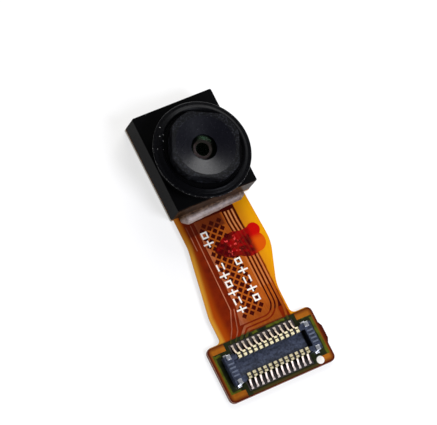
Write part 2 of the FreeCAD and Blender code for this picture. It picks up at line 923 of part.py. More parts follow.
def make_lens_holder():
    """Moulded block with its round tower, the bore for the barrel and the sensor cavity."""
    body = new_body("lens_holder")
    block = new_sketch(body, offset="holder_bottom")
    add_rectangle(block, "-holder_width / 2", "holder_width / 2", "-holder_front", "holder_back")
    pad(body, block, "holder_height")
    round_corners(body, block, range(4), "holder_corner")
    chamfer_loop(body, size("holder_top"), "holder_edge_chamfer")
    tower = new_sketch(body, offset="holder_top")
    add_circle(tower, "tower_radius")
    pad(body, tower, "tower_height")
    seat = new_sketch(body, offset="ring_seat")
    add_circle(seat, "ring_seat_radius")
    pad(body, seat, "ring_seat_height")
    cavity = new_sketch(body, offset="cavity_top")
    add_rectangle(cavity, "-cavity_half_width", "cavity_half_width",
                  "-cavity_front", "cavity_back")
    pocket(body, cavity, "cavity_depth")
    recess = new_sketch(body, offset="recess_top")
    recess_half = "filter_width / 2 + filter_clearance"
    add_rectangle(recess, f"-({recess_half})", recess_half, f"-({recess_half})", recess_half)
    pocket(body, recess, "filter_recess_depth")
    window = new_sketch(body, offset="bore_floor")
    add_rectangle(window, "-window_width / 2", "window_width / 2",
                  "-window_width / 2", "window_width / 2")
    pocket(body, window, "window_lip")
    bore = new_sketch(body, offset="tower_top")
    add_circle(bore, "bore_radius")
    pocket(body, bore, "tower_top - bore_floor")
    return body


def make_holder_adhesive():
    """Thin glue line between the block and the film."""
    body = new_body("holder_adhesive")
    sketch = new_sketch(body, offset="film_top")
    add_rectangle(sketch, "-holder_width / 2 + glue_inset", "holder_width / 2 - glue_inset",
                  "-holder_front + glue_inset", "holder_back - glue_inset")
    add_rectangle(sketch, "-cavity_half_width", "cavity_half_width",
                  "-cavity_front", "cavity_back")
    pad(body, sketch, "bond_line")
    return body


def make_sealing_ring():
    """Soft ring on the tower: a thin outer lip that overhangs, and a sloping shoulder."""
    body = new_body("sealing_ring")
    sketch = new_sketch(body, plane="XZ_Plane")
    lip_low = "ring_seat + ring_edge_rise"
    top = "ring_seat + ring_height"
    add_polygon(sketch, [
        ("ring_seat_radius", "ring_seat"),
        ("tower_radius", "ring_seat"),
        ("ring_radius", lip_low),
        ("ring_radius", lip_low + " + ring_lip"),
        ("ring_seat_radius + ring_crown_width", top),
        ("ring_seat_radius", top),
    ])
    revolve(body, sketch)
    return body


def make_lens_barrel():
    """Screwed barrel: faceted head with a light funnel, stepped seats inside."""
    body = new_body("lens_barrel")
    sketch = new_sketch(body, plane="XZ_Plane")
    add_polygon(sketch, [
        ("funnel_radius", "barrel_top"),
        ("head_radius", "barrel_top"),
        ("head_radius", "barrel_shoulder"),
        ("barrel_radius", "barrel_shoulder"),
        ("barrel_radius", "barrel_bottom"),
        ("rear_lens_radius", "barrel_bottom"),
        ("rear_lens_radius", "rear_seat"),
        ("middle_lens_radius", "rear_seat"),
        ("middle_lens_radius", "middle_seat"),
        ("front_lens_radius", "middle_seat"),
        ("front_lens_radius", "front_seat"),
        ("aperture_radius", "front_seat"),
        ("aperture_radius", "funnel_bottom"),
    ])
    revolve(body, sketch)
    flat = new_sketch(body, offset="barrel_top", turn="head_turn")
    add_rectangle(flat, "head_flat", "2 * head_radius", "-head_radius", "head_radius")
    flat_cut = pocket(body, flat, "head_height")
    flats = body.newObject("PartDesign::PolarPattern", "head_flats")
    flats.Originals = [flat_cut]
    flats.Axis = (origin_item(body, "Z_Axis"), [""])
    flats.Angle = 360.0
    flats.Occurrences = 4
    body.Tip = flats
    doc.recompute()
    top, middle = size("barrel_top"), (size("funnel_radius") + size("head_flat")) / 2
    chamfer_loop(body, top, "head_edge_chamfer",
                 lambda edge: edge.Vertexes[0].Point.sub(Vector(0, 0, top)).Length > middle)
    return body


def make_front_lens():
    """First element: flat flange with a crown that shows in the aperture."""
    radius = "front_lens_radius - lens_clearance"
    flange = add_cylinder("front_flange", radius, "stop_top", "front_lens_thickness")
    stem = add_cylinder("front_stem", "aperture_radius - crown_inset",
                        "front_seat - front_lens_crown", "3 * front_lens_crown")
    ball = add_ball("front_ball", "front_lens_curve",
                    "front_seat + front_lens_crown - front_lens_curve")
    crown = common("front_crown", stem, ball)
    return fuse("front_lens", flange, crown)


def make_disc(label, radius, hole, bottom, thickness):
    """Flat ring on the lens axis."""
    disc = add_cylinder(label + "_disc", radius, bottom, thickness)
    middle = add_cylinder(label + "_hole", hole, bottom, thickness)
    return cut(label, disc, middle)


def make_hollow_lens(label, radius, curve, seat, bottom, thickness):
    """Element with a hollow on its upper side."""
    blank = add_cylinder(label + "_blank", f"{radius} - lens_clearance", bottom, thickness)
    hollow = add_ball(label + "_hollow", curve, f"{seat} - lens_hollow_depth + {curve}")
    return cut(label, blank, hollow)


# Sensor room

def make_image_sensor():
    return add_box("image_sensor", "-sensor_width / 2", "-sensor_length / 2", "sensor_bottom",
                   "sensor_width", "sensor_length", "sensor_thickness")


def make_sensor_adhesive():
    return add_box("sensor_adhesive", "-sensor_width / 2", "-sensor_length / 2", "base_top",
                   "sensor_width", "sensor_length", "bond_line")


def make_infrared_filter():
    return add_box("infrared_filter", "-filter_width / 2", "-filter_width / 2",
                   "recess_top - filter_thickness", "filter_width", "filter_width",
                   "filter_thickness")


def make_bond_wires():
    """Wire loops from both edges of the sensor down to the circuit."""
    body = new_body("bond_wires")
    start = "-wire_pitch * (wire_count - 1) / 2"
    sketch = new_sketch(body, plane="XZ_Plane", offset=f"-({start})")
    edge = "sensor_width / 2"
    for hand in ("", "-"):
        add_polygon(sketch, [
            (f"{hand}({edge} - wire_inset)", "sensor_top"),
            (f"{hand}({edge} - wire_inset + wire_width)", "sensor_top"),
            (f"{hand}({edge})", "sensor_top + wire_loop - wire_width"),
            (f"{hand}({edge} + wire_pad_reach - wire_width)", "base_top"),
            (f"{hand}({edge} + wire_pad_reach)", "base_top"),
            (f"{hand}({edge})", "sensor_top + wire_loop"),
        ])
    wire = pad(body, sketch, "wire_width", centred=True)
    row_of(body, [wire], "Y_Axis", "wire_pitch * (wire_count - 1)", "wire_count")
    return body


def make_capacitors():
    """Row of small capacitors on the far side of the sensor, thicker at their end caps."""
    body = new_body("capacitors")
    first = "-capacitor_pitch * (capacitor_count - 1) / 2"
    sketch = new_sketch(body, plane="XZ_Plane", offset="-capacitor_row")
    half = "capacitor_length / 2"
    high = "base_top + capacitor_width"
    cap = "capacitor_length / 5"
    add_polygon(sketch, [
        (f"{first} - {half}", "base_top"),
        (f"{first} + {half}", "base_top"),
        (f"{first} + {half}", high),
        (f"{first} + {half} - {cap}", high),
        (f"{first} + {half} - {cap}", f"{high} - capacitor_cap_rise"),
        (f"{first} - {half} + {cap}", f"{high} - capacitor_cap_rise"),
        (f"{first} - {half} + {cap}", high),
        (f"{first} - {half}", high),
    ])
    block = pad(body, sketch, "capacitor_width", centred=True)
    row_of(body, [block], "X_Axis", "capacitor_pitch * (capacitor_count - 1)", "capacitor_count")
    return body


# Connector

def make_connector_housing():
    """Moulded header: two long walls, end blocks with ribs, and the trough between them."""
    body = new_body("connector_housing")
    sketch = new_sketch(body, offset="film_top")
    long_half = "housing_length / 2"
    block = "housing_length / 2 - end_block_length"
    corners = [
        (long_half, "housing_width / 2"), (block, "housing_width / 2"), (block, "wall_outer"),
    ]
    signs = [("+", "+"), ("-", "+"), ("-", "-"), ("+", "-")]
    points = []
    for number, (hand, side) in enumerate(signs):
        run = corners if number % 2 == 0 else corners[::-1]
        for across, along in run:
            points.append((f"connector_shift {hand} ({across})",
                           f"-connector_reach {side} ({along})"))
    add_polygon(sketch, points)
    pad(body, sketch, "housing_height")
    trough = new_sketch(body, offset="housing_top")
    add_rectangle(trough, "connector_shift - trough_length / 2",
                  "connector_shift + trough_length / 2",
                  "-connector_reach - wall_inner", "-connector_reach + wall_inner")
    pocket(body, trough, "trough_depth")
    slot = new_sketch(body, offset="housing_top - trough_depth")
    add_rectangle(slot, "connector_shift + trough_length / 2 - slot_length",
                  "connector_shift + trough_length / 2",
                  "-connector_reach - wall_inner", "-connector_reach + wall_inner")
    pocket(body, slot, "slot_depth")
    ribs = []
    for hand in ("+", "-"):
        rib = new_sketch(body, offset="housing_top")
        middle = f"connector_shift {hand} (trough_length / 4 + housing_length / 4)"
        low = "-connector_reach - rib_pitch * (rib_count - 1) / 2"
        add_rectangle(rib, f"{middle} - rib_length / 2", f"{middle} + rib_length / 2",
                      f"{low} - rib_width / 2", f"{low} + rib_width / 2")
        ribs.append(pad(body, rib, "rib_height"))
    row_of(body, ribs, "Y_Axis", "rib_pitch * (rib_count - 1)", "rib_count")
    return body


def side_points(side, points):
    """Profile points of one contact row, measured from the connector's middle line."""
    placed = []
    for across, height in points:
        placed.append((f"-connector_reach {side} ({across})", f"pad_top + {height}"))
    return placed


def make_contact_row(label, side):
    """Twelve contacts: a tail on its pad, a strap over the wall and down into the trough."""
    body = new_body(label)
    wall_top = "(housing_top - pad_top)"
    outer = "wall_outer + strip_thickness"
    inner = "wall_inner - strip_thickness"
    foot = "tail_reach - tail_foot"
    tail = new_sketch(body, plane="YZ_Plane", offset="first_contact")
    add_polygon(tail, side_points(side, [
        ("tail_reach", "0"),
        (foot, "0"),
        ("wall_outer", "tail_rise"),
        ("wall_outer", f"{wall_top}"),
        (outer, f"{wall_top}"),
        (outer, "tail_rise + strip_thickness"),
        (foot, "strip_thickness"),
        ("tail_reach", "strip_thickness"),
    ]))
    tail_pad = pad(body, tail, "tail_width", centred=True)
    strap = new_sketch(body, plane="YZ_Plane", offset="first_contact")
    low = f"{wall_top} - contact_inner_reach"
    high = f"{wall_top} + strip_thickness"
    add_polygon(strap, side_points(side, [
        (outer, f"{wall_top} - contact_outer_reach"),
        (outer, high),
        (inner, high),
        (inner, low),
        ("wall_inner", low),
        ("wall_inner", wall_top),
        ("wall_outer", wall_top),
        ("wall_outer", f"{wall_top} - contact_outer_reach"),
    ]))
    strap_pad = pad(body, strap, "contact_width", centred=True)
    row_of(body, [tail_pad, strap_pad], "X_Axis", "row_span", "contacts_per_row")
    return body


def make_fixing_nails():
    """Four metal straps at the corners of the housing, each with a foot on the tab."""
    body = new_body("fixing_nails")
    half = "housing_width / 2"
    sketch = new_sketch(body, plane="YZ_Plane", offset="connector_shift - nail_place")
    wall_top = "(housing_top - pad_top)"
    for side in ("+", "-"):
        add_polygon(sketch, side_points(side, [
            (f"{half} + nail_foot", "0"),
            (half, "0"),
            (half, wall_top),
            (f"{half} - nail_lap", wall_top),
            (f"{half} - nail_lap", f"{wall_top} + strip_thickness"),
            (f"{half} + strip_thickness", f"{wall_top} + strip_thickness"),
            (f"{half} + strip_thickness", "strip_thickness"),
            (f"{half} + nail_foot", "strip_thickness"),
        ]))
    nail = pad(body, sketch, "nail_width", centred=True)
    row_of(body, [nail], "X_Axis", "2 * nail_place", "2")
    return body


def make_tail_solder():
    """Solder wedge at the tip of every tail."""
    body = new_body("tail_solder")
    sketch = new_sketch(body, plane="YZ_Plane", offset="first_contact")
    for side in ("+", "-"):
        add_polygon(sketch, side_points(side, [
            ("tail_reach", "0"),
            ("tail_reach + solder_reach", "0"),
            ("tail_reach", "strip_thickness"),
        ]))
    wedge = pad(body, sketch, "tail_width", centred=True)
    row_of(body, [wedge], "X_Axis", "row_span", "contacts_per_row")
    return body


# Adhesive and ink

def make_adhesive_bead():
    """Bead along the foot of the block, wider and taller at its left end. Its profile is
    given in shares of its width and height."""
    body = new_body("adhesive_bead")
    ends = [("-bead_end", "bead_left_width", "bead_left_height"),
            ("bead_end", "bead_right_width", "bead_right_height")]
    profile = [(0, 0), (0, 1), (0.4, 0.8), (0.85, 0.35), (1, 0)]
    sections = []
    for place, width, height in ends:
        sketch = new_sketch(body, plane="YZ_Plane", offset=place)
        add_polygon(sketch, [
            (f"-holder_front - {out} * {width}", f"film_top + {up} * {height}")
            for out, up in profile
        ])
        sections.append(sketch)
    loft = body.newObject("PartDesign::AdditiveLoft", "bead_loft")
    loft.Profile = sections[0]
    loft.Sections = [sections[1]]
    loft.Ruled = True
    doc.recompute()
    return body


def make_pin_one_dot():
    return add_cylinder("pin_one_dot", "dot_radius", "film_top", "ink_thickness",
                        "tab_right - dot_inset_x", "tab_far + dot_inset_y")


def mark_faces(kind, left, high):
    """Faces of one plain mark: a square frame, a cross or a pair of short bars."""
    stroke, side = size("mark_stroke"), size("mark_width")
    right, low = left + size("mark_length"), high - side
    if kind == "frame":
        start = (left + right - side) / 2
        inner = flat_rectangle(start + stroke, start + side - stroke, low + stroke, high - stroke)
        return flat_rectangle(start, start + side, low, high).cut(inner).Faces
    if kind == "bars":
        return [flat_rectangle(left + stroke, left + 2 * stroke, low, high),
                flat_rectangle(right - 2 * stroke, right - stroke, low, high)]
    middle_x, middle_y = (left + right - stroke) / 2, (low + high - stroke) / 2
    along = flat_rectangle(left, right, middle_y, middle_y + stroke)
    across = flat_rectangle(middle_x, middle_x + stroke, low, high)
    return along.fuse(across).removeSplitter().Faces


def make_ink_marks():
    """Plain white marks in two rows along the neck, with a gap for the blot in the left one."""
    kinds = ["frame", "cross", "bars", "cross"]
    places = []
    for number in range(int(size("left_mark_count"))):
        along = size("left_mark_start") + number * size("left_mark_pitch")
        if number >= size("left_marks_before_gap"):
            along += size("left_mark_gap")
        places.append((-size("left_mark_edge"), -along))
    for number in range(int(size("right_mark_count"))):
        along = size("right_mark_start") + number * size("right_mark_pitch")
        places.append((-size("right_mark_edge"), -along))
    solids = []
    for number, (left, high) in enumerate(places):
        for face in mark_faces(kinds[number % len(kinds)], left, high):
            solids.append(lifted(face, size("ridge_top"), size("ink_thickness")))
    return add_feature("ink_marks", Part.makeCompound(solids))


def make_ink_blot():
    """Blot of marking ink across the tracks, with a round lobe at its upper right."""
    left, right = -size("blot_left"), size("blot_right")
    high, low = -size("blot_high"), -size("blot_low")

    def place(across, along):
        """Point at a share of the blot's width and of its length, from its lower left."""
        return Vector(left + across * (right - left), low + along * (high - low), 0)

    bulges = [
        ((0.0, 0.56), (0.24, 0.88), (0.50, 0.98)),
        ((0.50, 0.98), (0.68, 0.91), (0.80, 0.95)),
        ((0.80, 0.95), (0.98, 0.94), (0.96, 0.60)),
        ((0.96, 0.60), (1.0, 0.25), (0.80, 0.03)),
        ((0.80, 0.03), (0.58, 0.0), (0.42, 0.14)),
        ((0.42, 0.14), (0.14, 0.28), (0.0, 0.56)),
    ]
    arcs = [Part.Arc(*[place(*point) for point in bulge]).toShape() for bulge in bulges]
    face = Part.Face(Part.Wire(arcs))
    return add_feature("ink_blot", lifted(face, size("ridge_top"), size("ink_thickness")))


def build():
    """All the pieces that are kept, in the order in which they are put together."""
    base_film = film_body("base_film", "base_bottom", "base_film_thickness")
    bottom_traces = make_bottom_traces()
    bottom_film = film_body("bottom_film", "stiffener_thickness",
                            "cover_film_thickness + copper_thickness")
    traces = make_signal_traces()
    mesh = make_ground_mesh()
    return [
        make_head_stiffener(),
        make_connector_stiffener(),
        cut("bottom_coverlay", bottom_film, bottom_traces),
        bottom_traces,
        base_film,
        traces,
        mesh,
        make_top_coverlay(traces),
        make_solder_mask(traces),
        make_holder_adhesive(),
        make_lens_holder(),
        make_sealing_ring(),
        make_lens_barrel(),
        make_front_lens(),
        make_disc("aperture_stop", "front_lens_radius - lens_clearance", "stop_hole",
                  "middle_seat", "stop_thickness"),
        make_hollow_lens("middle_lens", "middle_lens_radius", "middle_lens_curve",
                         "middle_seat", "spacer_top", "middle_lens_thickness"),
        make_disc("lens_spacer", "middle_lens_radius - lens_clearance", "spacer_hole",
                  "rear_seat", "spacer_thickness"),
        make_hollow_lens("rear_lens", "rear_lens_radius", "rear_lens_curve",
                         "rear_seat", "retainer_top", "rear_lens_thickness"),
        make_disc("lens_retainer", "rear_lens_radius - lens_clearance", "retainer_hole",
                  "barrel_bottom", "retainer_top - barrel_bottom"),
        make_infrared_filter(),
        make_sensor_adhesive(),
        make_image_sensor(),
        make_bond_wires(),
        make_capacitors(),
        make_connector_housing(),
        make_contact_row("contacts_head_side", "+"),
        make_contact_row("contacts_end_side", "-"),
        make_fixing_nails(),
        make_tail_solder(),
        make_adhesive_bead(),
        make_pin_one_dot(),
        make_ink_marks(),
        make_ink_blot(),
    ]


pieces = build()
doc.recompute()

faults = [item.Label for item in doc.Objects if set(item.State) & {"Invalid", "Error"}]
for piece in pieces:
    if piece.Shape.isNull() or not piece.Shape.isValid() or not piece.Shape.Solids:
        faults.append(piece.Label)
if faults:
    raise ValueError("pieces at fault: " + ", ".join(faults))

os.makedirs("parts", exist_ok=True)
for piece in pieces:
    piece.Shape.exportStep(f"parts/{piece.Label}.step")
    print(f"{piece.Label}: {len(piece.Shape.Solids)} solids, {piece.Shape.Volume:.4f} mm3")
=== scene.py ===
import math

import bmesh
import bpy
from mathutils import Matrix, Vector, noise


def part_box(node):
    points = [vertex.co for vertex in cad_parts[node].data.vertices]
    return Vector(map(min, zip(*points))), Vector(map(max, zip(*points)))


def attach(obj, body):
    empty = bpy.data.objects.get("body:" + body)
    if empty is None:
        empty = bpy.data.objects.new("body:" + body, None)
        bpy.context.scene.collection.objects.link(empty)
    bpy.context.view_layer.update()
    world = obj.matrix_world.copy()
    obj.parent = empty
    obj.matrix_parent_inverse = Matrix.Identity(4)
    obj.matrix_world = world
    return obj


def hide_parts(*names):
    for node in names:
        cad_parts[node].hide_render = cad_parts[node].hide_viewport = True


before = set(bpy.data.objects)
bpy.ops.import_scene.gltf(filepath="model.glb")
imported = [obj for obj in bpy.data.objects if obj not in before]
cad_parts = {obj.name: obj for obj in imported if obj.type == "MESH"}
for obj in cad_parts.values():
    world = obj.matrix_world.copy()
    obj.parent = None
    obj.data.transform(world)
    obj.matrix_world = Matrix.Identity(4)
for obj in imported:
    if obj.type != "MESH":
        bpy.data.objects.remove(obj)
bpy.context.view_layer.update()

# Camera module on its flexible circuit. Lengths are written in millimetres and turned into
# metres by MM. The lens axis is Z, and the circuit runs off towards -Y.

MM = 0.001


def low(node):
    """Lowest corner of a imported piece, in millimetres."""
    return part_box(node)[0] / MM


def high(node):
    """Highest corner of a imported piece, in millimetres."""
    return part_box(node)[1] / MM


FILM_TOP = high("solder_mask").z
RIDGE_TOP = low("ink_marks").z
NECK_START = low("lens_holder").y
TAB_NEAR = high("connector_stiffener").y
TAB_FAR = low("connector_stiffener").y
TAB_LEFT = low("connector_stiffener").x
ROW_X = (low("connector_housing").x + high("connector_housing").x) / 2
ROW_Y = (low("connector_housing").y + high("connector_housing").y) / 2
TAB_HALF_X = ROW_X - TAB_LEFT
TAB_HALF_Y = (TAB_NEAR - TAB_FAR) / 2
TAB_CORNER = 0.38
LEFT_BEND_HIGH = NECK_START + (TAB_NEAR - NECK_START) / 4
LEFT_BEND_LOW = NECK_START + (TAB_NEAR - NECK_START) * 4 / 5
CONTACTS_A_ROW = 12
CONTACT_PITCH = 0.40
FIRST_CONTACT = ROW_X - (CONTACTS_A_ROW - 1) / 2 * CONTACT_PITCH

# Noise with even grains. Its scale is one over the size of a grain in millimetres.
EVEN = {"Detail": 2.0, "Roughness": 0.55}


# Materials

def linear(code):
    """Linear colour of an sRGB hex value."""
    channels = [int(code[i:i + 2], 16) / 255 for i in (1, 3, 5)]
    return [c / 12.92 if c <= 0.04045 else ((c + 0.055) / 1.055) ** 2.4 for c in channels] + [1.0]


def add(tree, kind, inputs=None, **settings):
    """One node with its settings. An input takes a value, or another node or socket to link."""
    node = tree.nodes.new("ShaderNode" + kind)
    for name, value in settings.items():
        setattr(node, name, value)
    for name, value in (inputs or {}).items():
        if isinstance(value, bpy.types.Node):
            value = value.outputs[0]
        if isinstance(value, bpy.types.NodeSocket):
            tree.links.new(value, node.inputs[name])
        elif isinstance(value, str):
            node.inputs[name].default_value = linear(value)
        else:
            node.inputs[name].default_value = value
    return node


def start_material(name):
    """Empty material, and the place on the object in millimetres."""
    material = bpy.data.materials.new(name)
    material.use_nodes = True
    tree = material.node_tree
    tree.nodes.clear()
    place = add(tree, "VectorMath", {0: add(tree, "TexCoord").outputs["Object"], "Scale": 1 / MM},
                operation="SCALE")
    return material, tree, place


def finish_material(tree, inputs):
    """Surface shader with the given inputs, joined to the material's output."""
    shader = add(tree, "BsdfPrincipled", inputs)
    add(tree, "OutputMaterial", {"Surface": shader})


def field(tree, place, zone, blur):
    """Mask that is 1 inside a zone seen from above, with soft edges. A zone is given by its
    left, right, near and far limits in millimetres."""
    left, right, near, far = zone
    middle = ((left + right) / 2, (near + far) / 2, 0)
    half = (abs(right - left) / 2, abs(far - near) / 2, 0)
    offset = add(tree, "VectorMath", {0: place, 1: middle}, operation="SUBTRACT")
    distance = add(tree, "VectorMath", {0: offset}, operation="ABSOLUTE")
    outside = add(tree, "VectorMath", {0: distance, 1: half}, operation="SUBTRACT")
    parts = add(tree, "SeparateXYZ", {0: outside})
    worst = add(tree, "Math", {0: parts.outputs["X"], 1: parts.outputs["Y"]}, operation="MAXIMUM")
    return add(tree, "MapRange", {"Value": worst, "From Min": blur, "From Max": -blur},
               interpolation_type="SMOOTHSTEP")


def edge_distance(tree, place):
    """Distance from the tab's rounded outline, negative on the tab."""
    offset = add(tree, "VectorMath", {0: place, 1: (ROW_X, ROW_Y, 0)}, operation="SUBTRACT")
    reach = add(tree, "VectorMath", {0: offset}, operation="ABSOLUTE")
    half = (TAB_HALF_X - TAB_CORNER, TAB_HALF_Y - TAB_CORNER, 99)
    beyond = add(tree, "VectorMath", {0: reach, 1: half}, operation="SUBTRACT")
    parts = add(tree, "SeparateXYZ", {0: beyond})
    inner = add(tree, "Math", {0: parts.outputs["X"], 1: parts.outputs["Y"]}, operation="MAXIMUM")
    inner = add(tree, "Math", {0: inner, 1: 0.0}, operation="MINIMUM")
    corner = add(tree, "VectorMath", {0: beyond, 1: (0, 0, 0)}, operation="MAXIMUM")
    corner = add(tree, "VectorMath", {0: corner}, operation="LENGTH").outputs["Value"]
    both = add(tree, "Math", {0: inner, 1: corner})
    return add(tree, "Math", {0: both, 1: TAB_CORNER}, operation="SUBTRACT")


def layered(tree, ground, layers):
    """Colours laid over the ground one after another, each through its mask."""
    for mask, colour in layers:
        ground = add(tree, "MixRGB", {"Fac": mask, "Color1": ground, "Color2": colour})
    return ground


def moulded_black_polymer():
    """Glass-filled liquid-crystal polymer, injection moulded: near black, satin, with the fine
    pitting of a spark-eroded mould. The pits are drawn coarser than life, so that they show.
    The front wall is painted an uneven brown, a painted reflection of the amber film in front of
    it."""
    material, tree, place = start_material("moulded_black_polymer")
    pits = add(tree, "TexNoise", {"Vector": place, "Scale": 1 / 0.09, **EVEN})
    cloud = add(tree, "TexNoise", {"Vector": place, "Scale": 1 / 1.4, **EVEN})
    colour = add(tree, "MixRGB", {"Fac": cloud, "Color1": "#040405", "Color2": "#0C0C0C"})
    # painted reflection: the front wall is streaked brown as the amber film mirrored in it
    drawn_out = add(tree, "VectorMath", {0: place, 1: (0.6, 1, 1)}, operation="MULTIPLY")
    runs = add(tree, "TexNoise", {"Vector": drawn_out, "Scale": 1 / 0.24, **EVEN})
    along = add(tree, "SeparateXYZ", {0: place}).outputs["Y"]
    front_wall = add(tree, "MapRange", {"Value": along, "From Min": NECK_START + 0.05,
                                        "From Max": NECK_START})
    film_reflection = add(tree, "MapRange", {"Value": runs, "From Min": 0.35, "From Max": 0.65})
    film_reflection = add(tree, "MixRGB", {"Fac": film_reflection, "Color1": "#22140A", "Color2": "#3E2A1A"})
    colour = layered(tree, colour, [(front_wall, film_reflection)])
    rough = add(tree, "MapRange", {"Value": pits, "To Min": 0.22, "To Max": 0.40})
    bump = add(tree, "Bump", {"Height": pits, "Distance": 0.004 * MM})
    finish_material(tree, {"Base Color": colour, "Roughness": rough, "IOR": 1.5,
                           "Specular IOR Level": 0.015, "Normal": bump})
    return material


def moulded_silicone_rubber():
    """Black silicone rubber, press moulded: soft sheen, pale dust that it holds on its far
    left side, and finer grey dust along the thin outer lip, strongest on the near side, where
    it also stands for a painted highlight."""
    material, tree, place = start_material("moulded_silicone_rubber")
    skin = add(tree, "TexNoise", {"Vector": place, "Scale": 1 / 0.12, **EVEN})
    spots = add(tree, "TexVoronoi", {"Vector": place, "Scale": 1 / 0.22})
    dust = add(tree, "MapRange", {"Value": spots.outputs["Distance"], "From Min": 0.13,
                                  "From Max": 0.09}, interpolation_type="SMOOTHSTEP")
    dusty_zone = (-3.6, -1.7, 0.9, 2.9)
    dusty = field(tree, place, dusty_zone, 0.1)
    dust = add(tree, "Math", {0: dust, 1: dusty}, operation="MULTIPLY")

    # the fine dust along the lip, most of it towards the circuit, where it also stands for a
    # painted highlight on the lip
    level = add(tree, "VectorMath", {0: place, 1: (1, 1, 0)}, operation="MULTIPLY")
    radius = add(tree, "VectorMath", {0: level}, operation="LENGTH").outputs["Value"]
    lip = high("sealing_ring").x
    on_lip = add(tree, "MapRange", {"Value": radius, "From Min": lip - 0.07,
                                    "From Max": lip - 0.03})
    lip_dust_and_highlight = add(tree, "TexVoronoi", {"Vector": place, "Scale": 1 / 0.11})
    lip_dust_and_highlight = add(tree, "MapRange", {"Value": lip_dust_and_highlight.outputs["Distance"], "From Min": 0.32,
                                   "From Max": 0.18})
    lip_dust_and_highlight = add(tree, "Math", {0: lip_dust_and_highlight, 1: on_lip}, operation="MULTIPLY")
    along = add(tree, "SeparateXYZ", {0: place}).outputs["Y"]
    near = add(tree, "MapRange", {"Value": along, "From Min": 2.5, "From Max": -1.5,
                                  "To Min": 0.15})
    lip_dust_and_highlight = add(tree, "Math", {0: lip_dust_and_highlight, 1: near}, operation="MULTIPLY")
    tone = add(tree, "MixRGB", {"Fac": skin, "Color1": "#030304", "Color2": "#0A0A0C"})
    colour = layered(tree, tone, [(lip_dust_and_highlight, "#6C6C68"), (dust, "#D8D8D4")])
    rough = add(tree, "MapRange", {"Value": skin, "To Min": 0.20, "To Max": 0.40})
    bump = add(tree, "Bump", {"Height": skin, "Distance": 0.010 * MM})
    finish_material(tree, {"Base Color": colour, "Roughness": rough, "IOR": 1.45,
                           "Specular IOR Level": 0.07, "Normal": bump})
    return material


def etched_lens_polymer():
    """Black polycarbonate of the barrel, its rim and sides etched matt in the mould. The
    etched grains are drawn at 0.1 mm, coarser than life, so that they show."""
    material, tree, place = start_material("etched_lens_polymer")
    etched = add(tree, "TexNoise", {"Vector": place, "Scale": 1 / 0.10, **EVEN, "Detail": 1.0})
    speck = add(tree, "MapRange", {"Value": etched, "From Min": 0.50, "From Max": 0.68})
    colour = add(tree, "MixRGB", {"Fac": speck, "Color1": "#050506", "Color2": "#24252A"})
    rough = add(tree, "MapRange", {"Value": etched, "To Min": 0.36, "To Max": 0.50})
    bump = add(tree, "Bump", {"Height": etched, "Distance": 0.010 * MM})
    finish_material(tree, {"Base Color": colour, "Roughness": rough, "IOR": 1.58,
                           "Specular IOR Level": 0.08, "Normal": bump})
    return material


def polished_lens_polymer():
    """The same black polycarbonate in the funnel, where the mould was polished: satin, so that
    the lamps spread over it in soft fields."""
    material, tree, place = start_material("polished_lens_polymer")
    fine = add(tree, "TexNoise", {"Vector": place, "Scale": 1 / 0.16, **EVEN})
    rough = add(tree, "MapRange", {"Value": fine, "To Min": 0.22, "To Max": 0.30})
    colour = add(tree, "MixRGB", {"Fac": fine, "Color1": "#04040A", "Color2": "#080810"})
    bump = add(tree, "Bump", {"Height": fine, "Distance": 0.0015 * MM})
    finish_material(tree, {"Base Color": colour, "Roughness": rough, "IOR": 1.58,
                           "Specular IOR Level": 0.28, "Normal": bump})
    return material


def coated_lens_glass():
    """Moulded optical polymer with a multilayer coating, which turns its mirror image green."""
    material, tree, place = start_material("coated_lens_glass")
    cloud = add(tree, "TexNoise", {"Vector": place, "Scale": 1 / 0.5, **EVEN})
    rough = add(tree, "MapRange", {"Value": cloud, "To Min": 0.06, "To Max": 0.12})
    finish_material(tree, {"Base Color": "#B6B2B6", "Roughness": rough, "IOR": 1.54,
                           "Transmission Weight": 1.0, "Specular Tint": "#206038",
                           "Specular IOR Level": 0.14})
    return material


def anodised_foil():
    """Anodised aluminium foil of the stop and the rings: half matt, with a faint warm tint.
    Down in the barrel little light reaches it, so it reads as the dim ring round the pupil."""
    material, tree, place = start_material("anodised_foil")
    mottle = add(tree, "TexNoise", {"Vector": place, "Scale": 1 / 0.15, **EVEN})
    colour = add(tree, "MixRGB", {"Fac": mottle, "Color1": "#84766C", "Color2": "#A69488"})
    bump = add(tree, "Bump", {"Height": mottle, "Distance": 0.002 * MM})
    finish_material(tree, {"Base Color": colour, "Roughness": 0.5,
                           "Normal": bump})
    return material


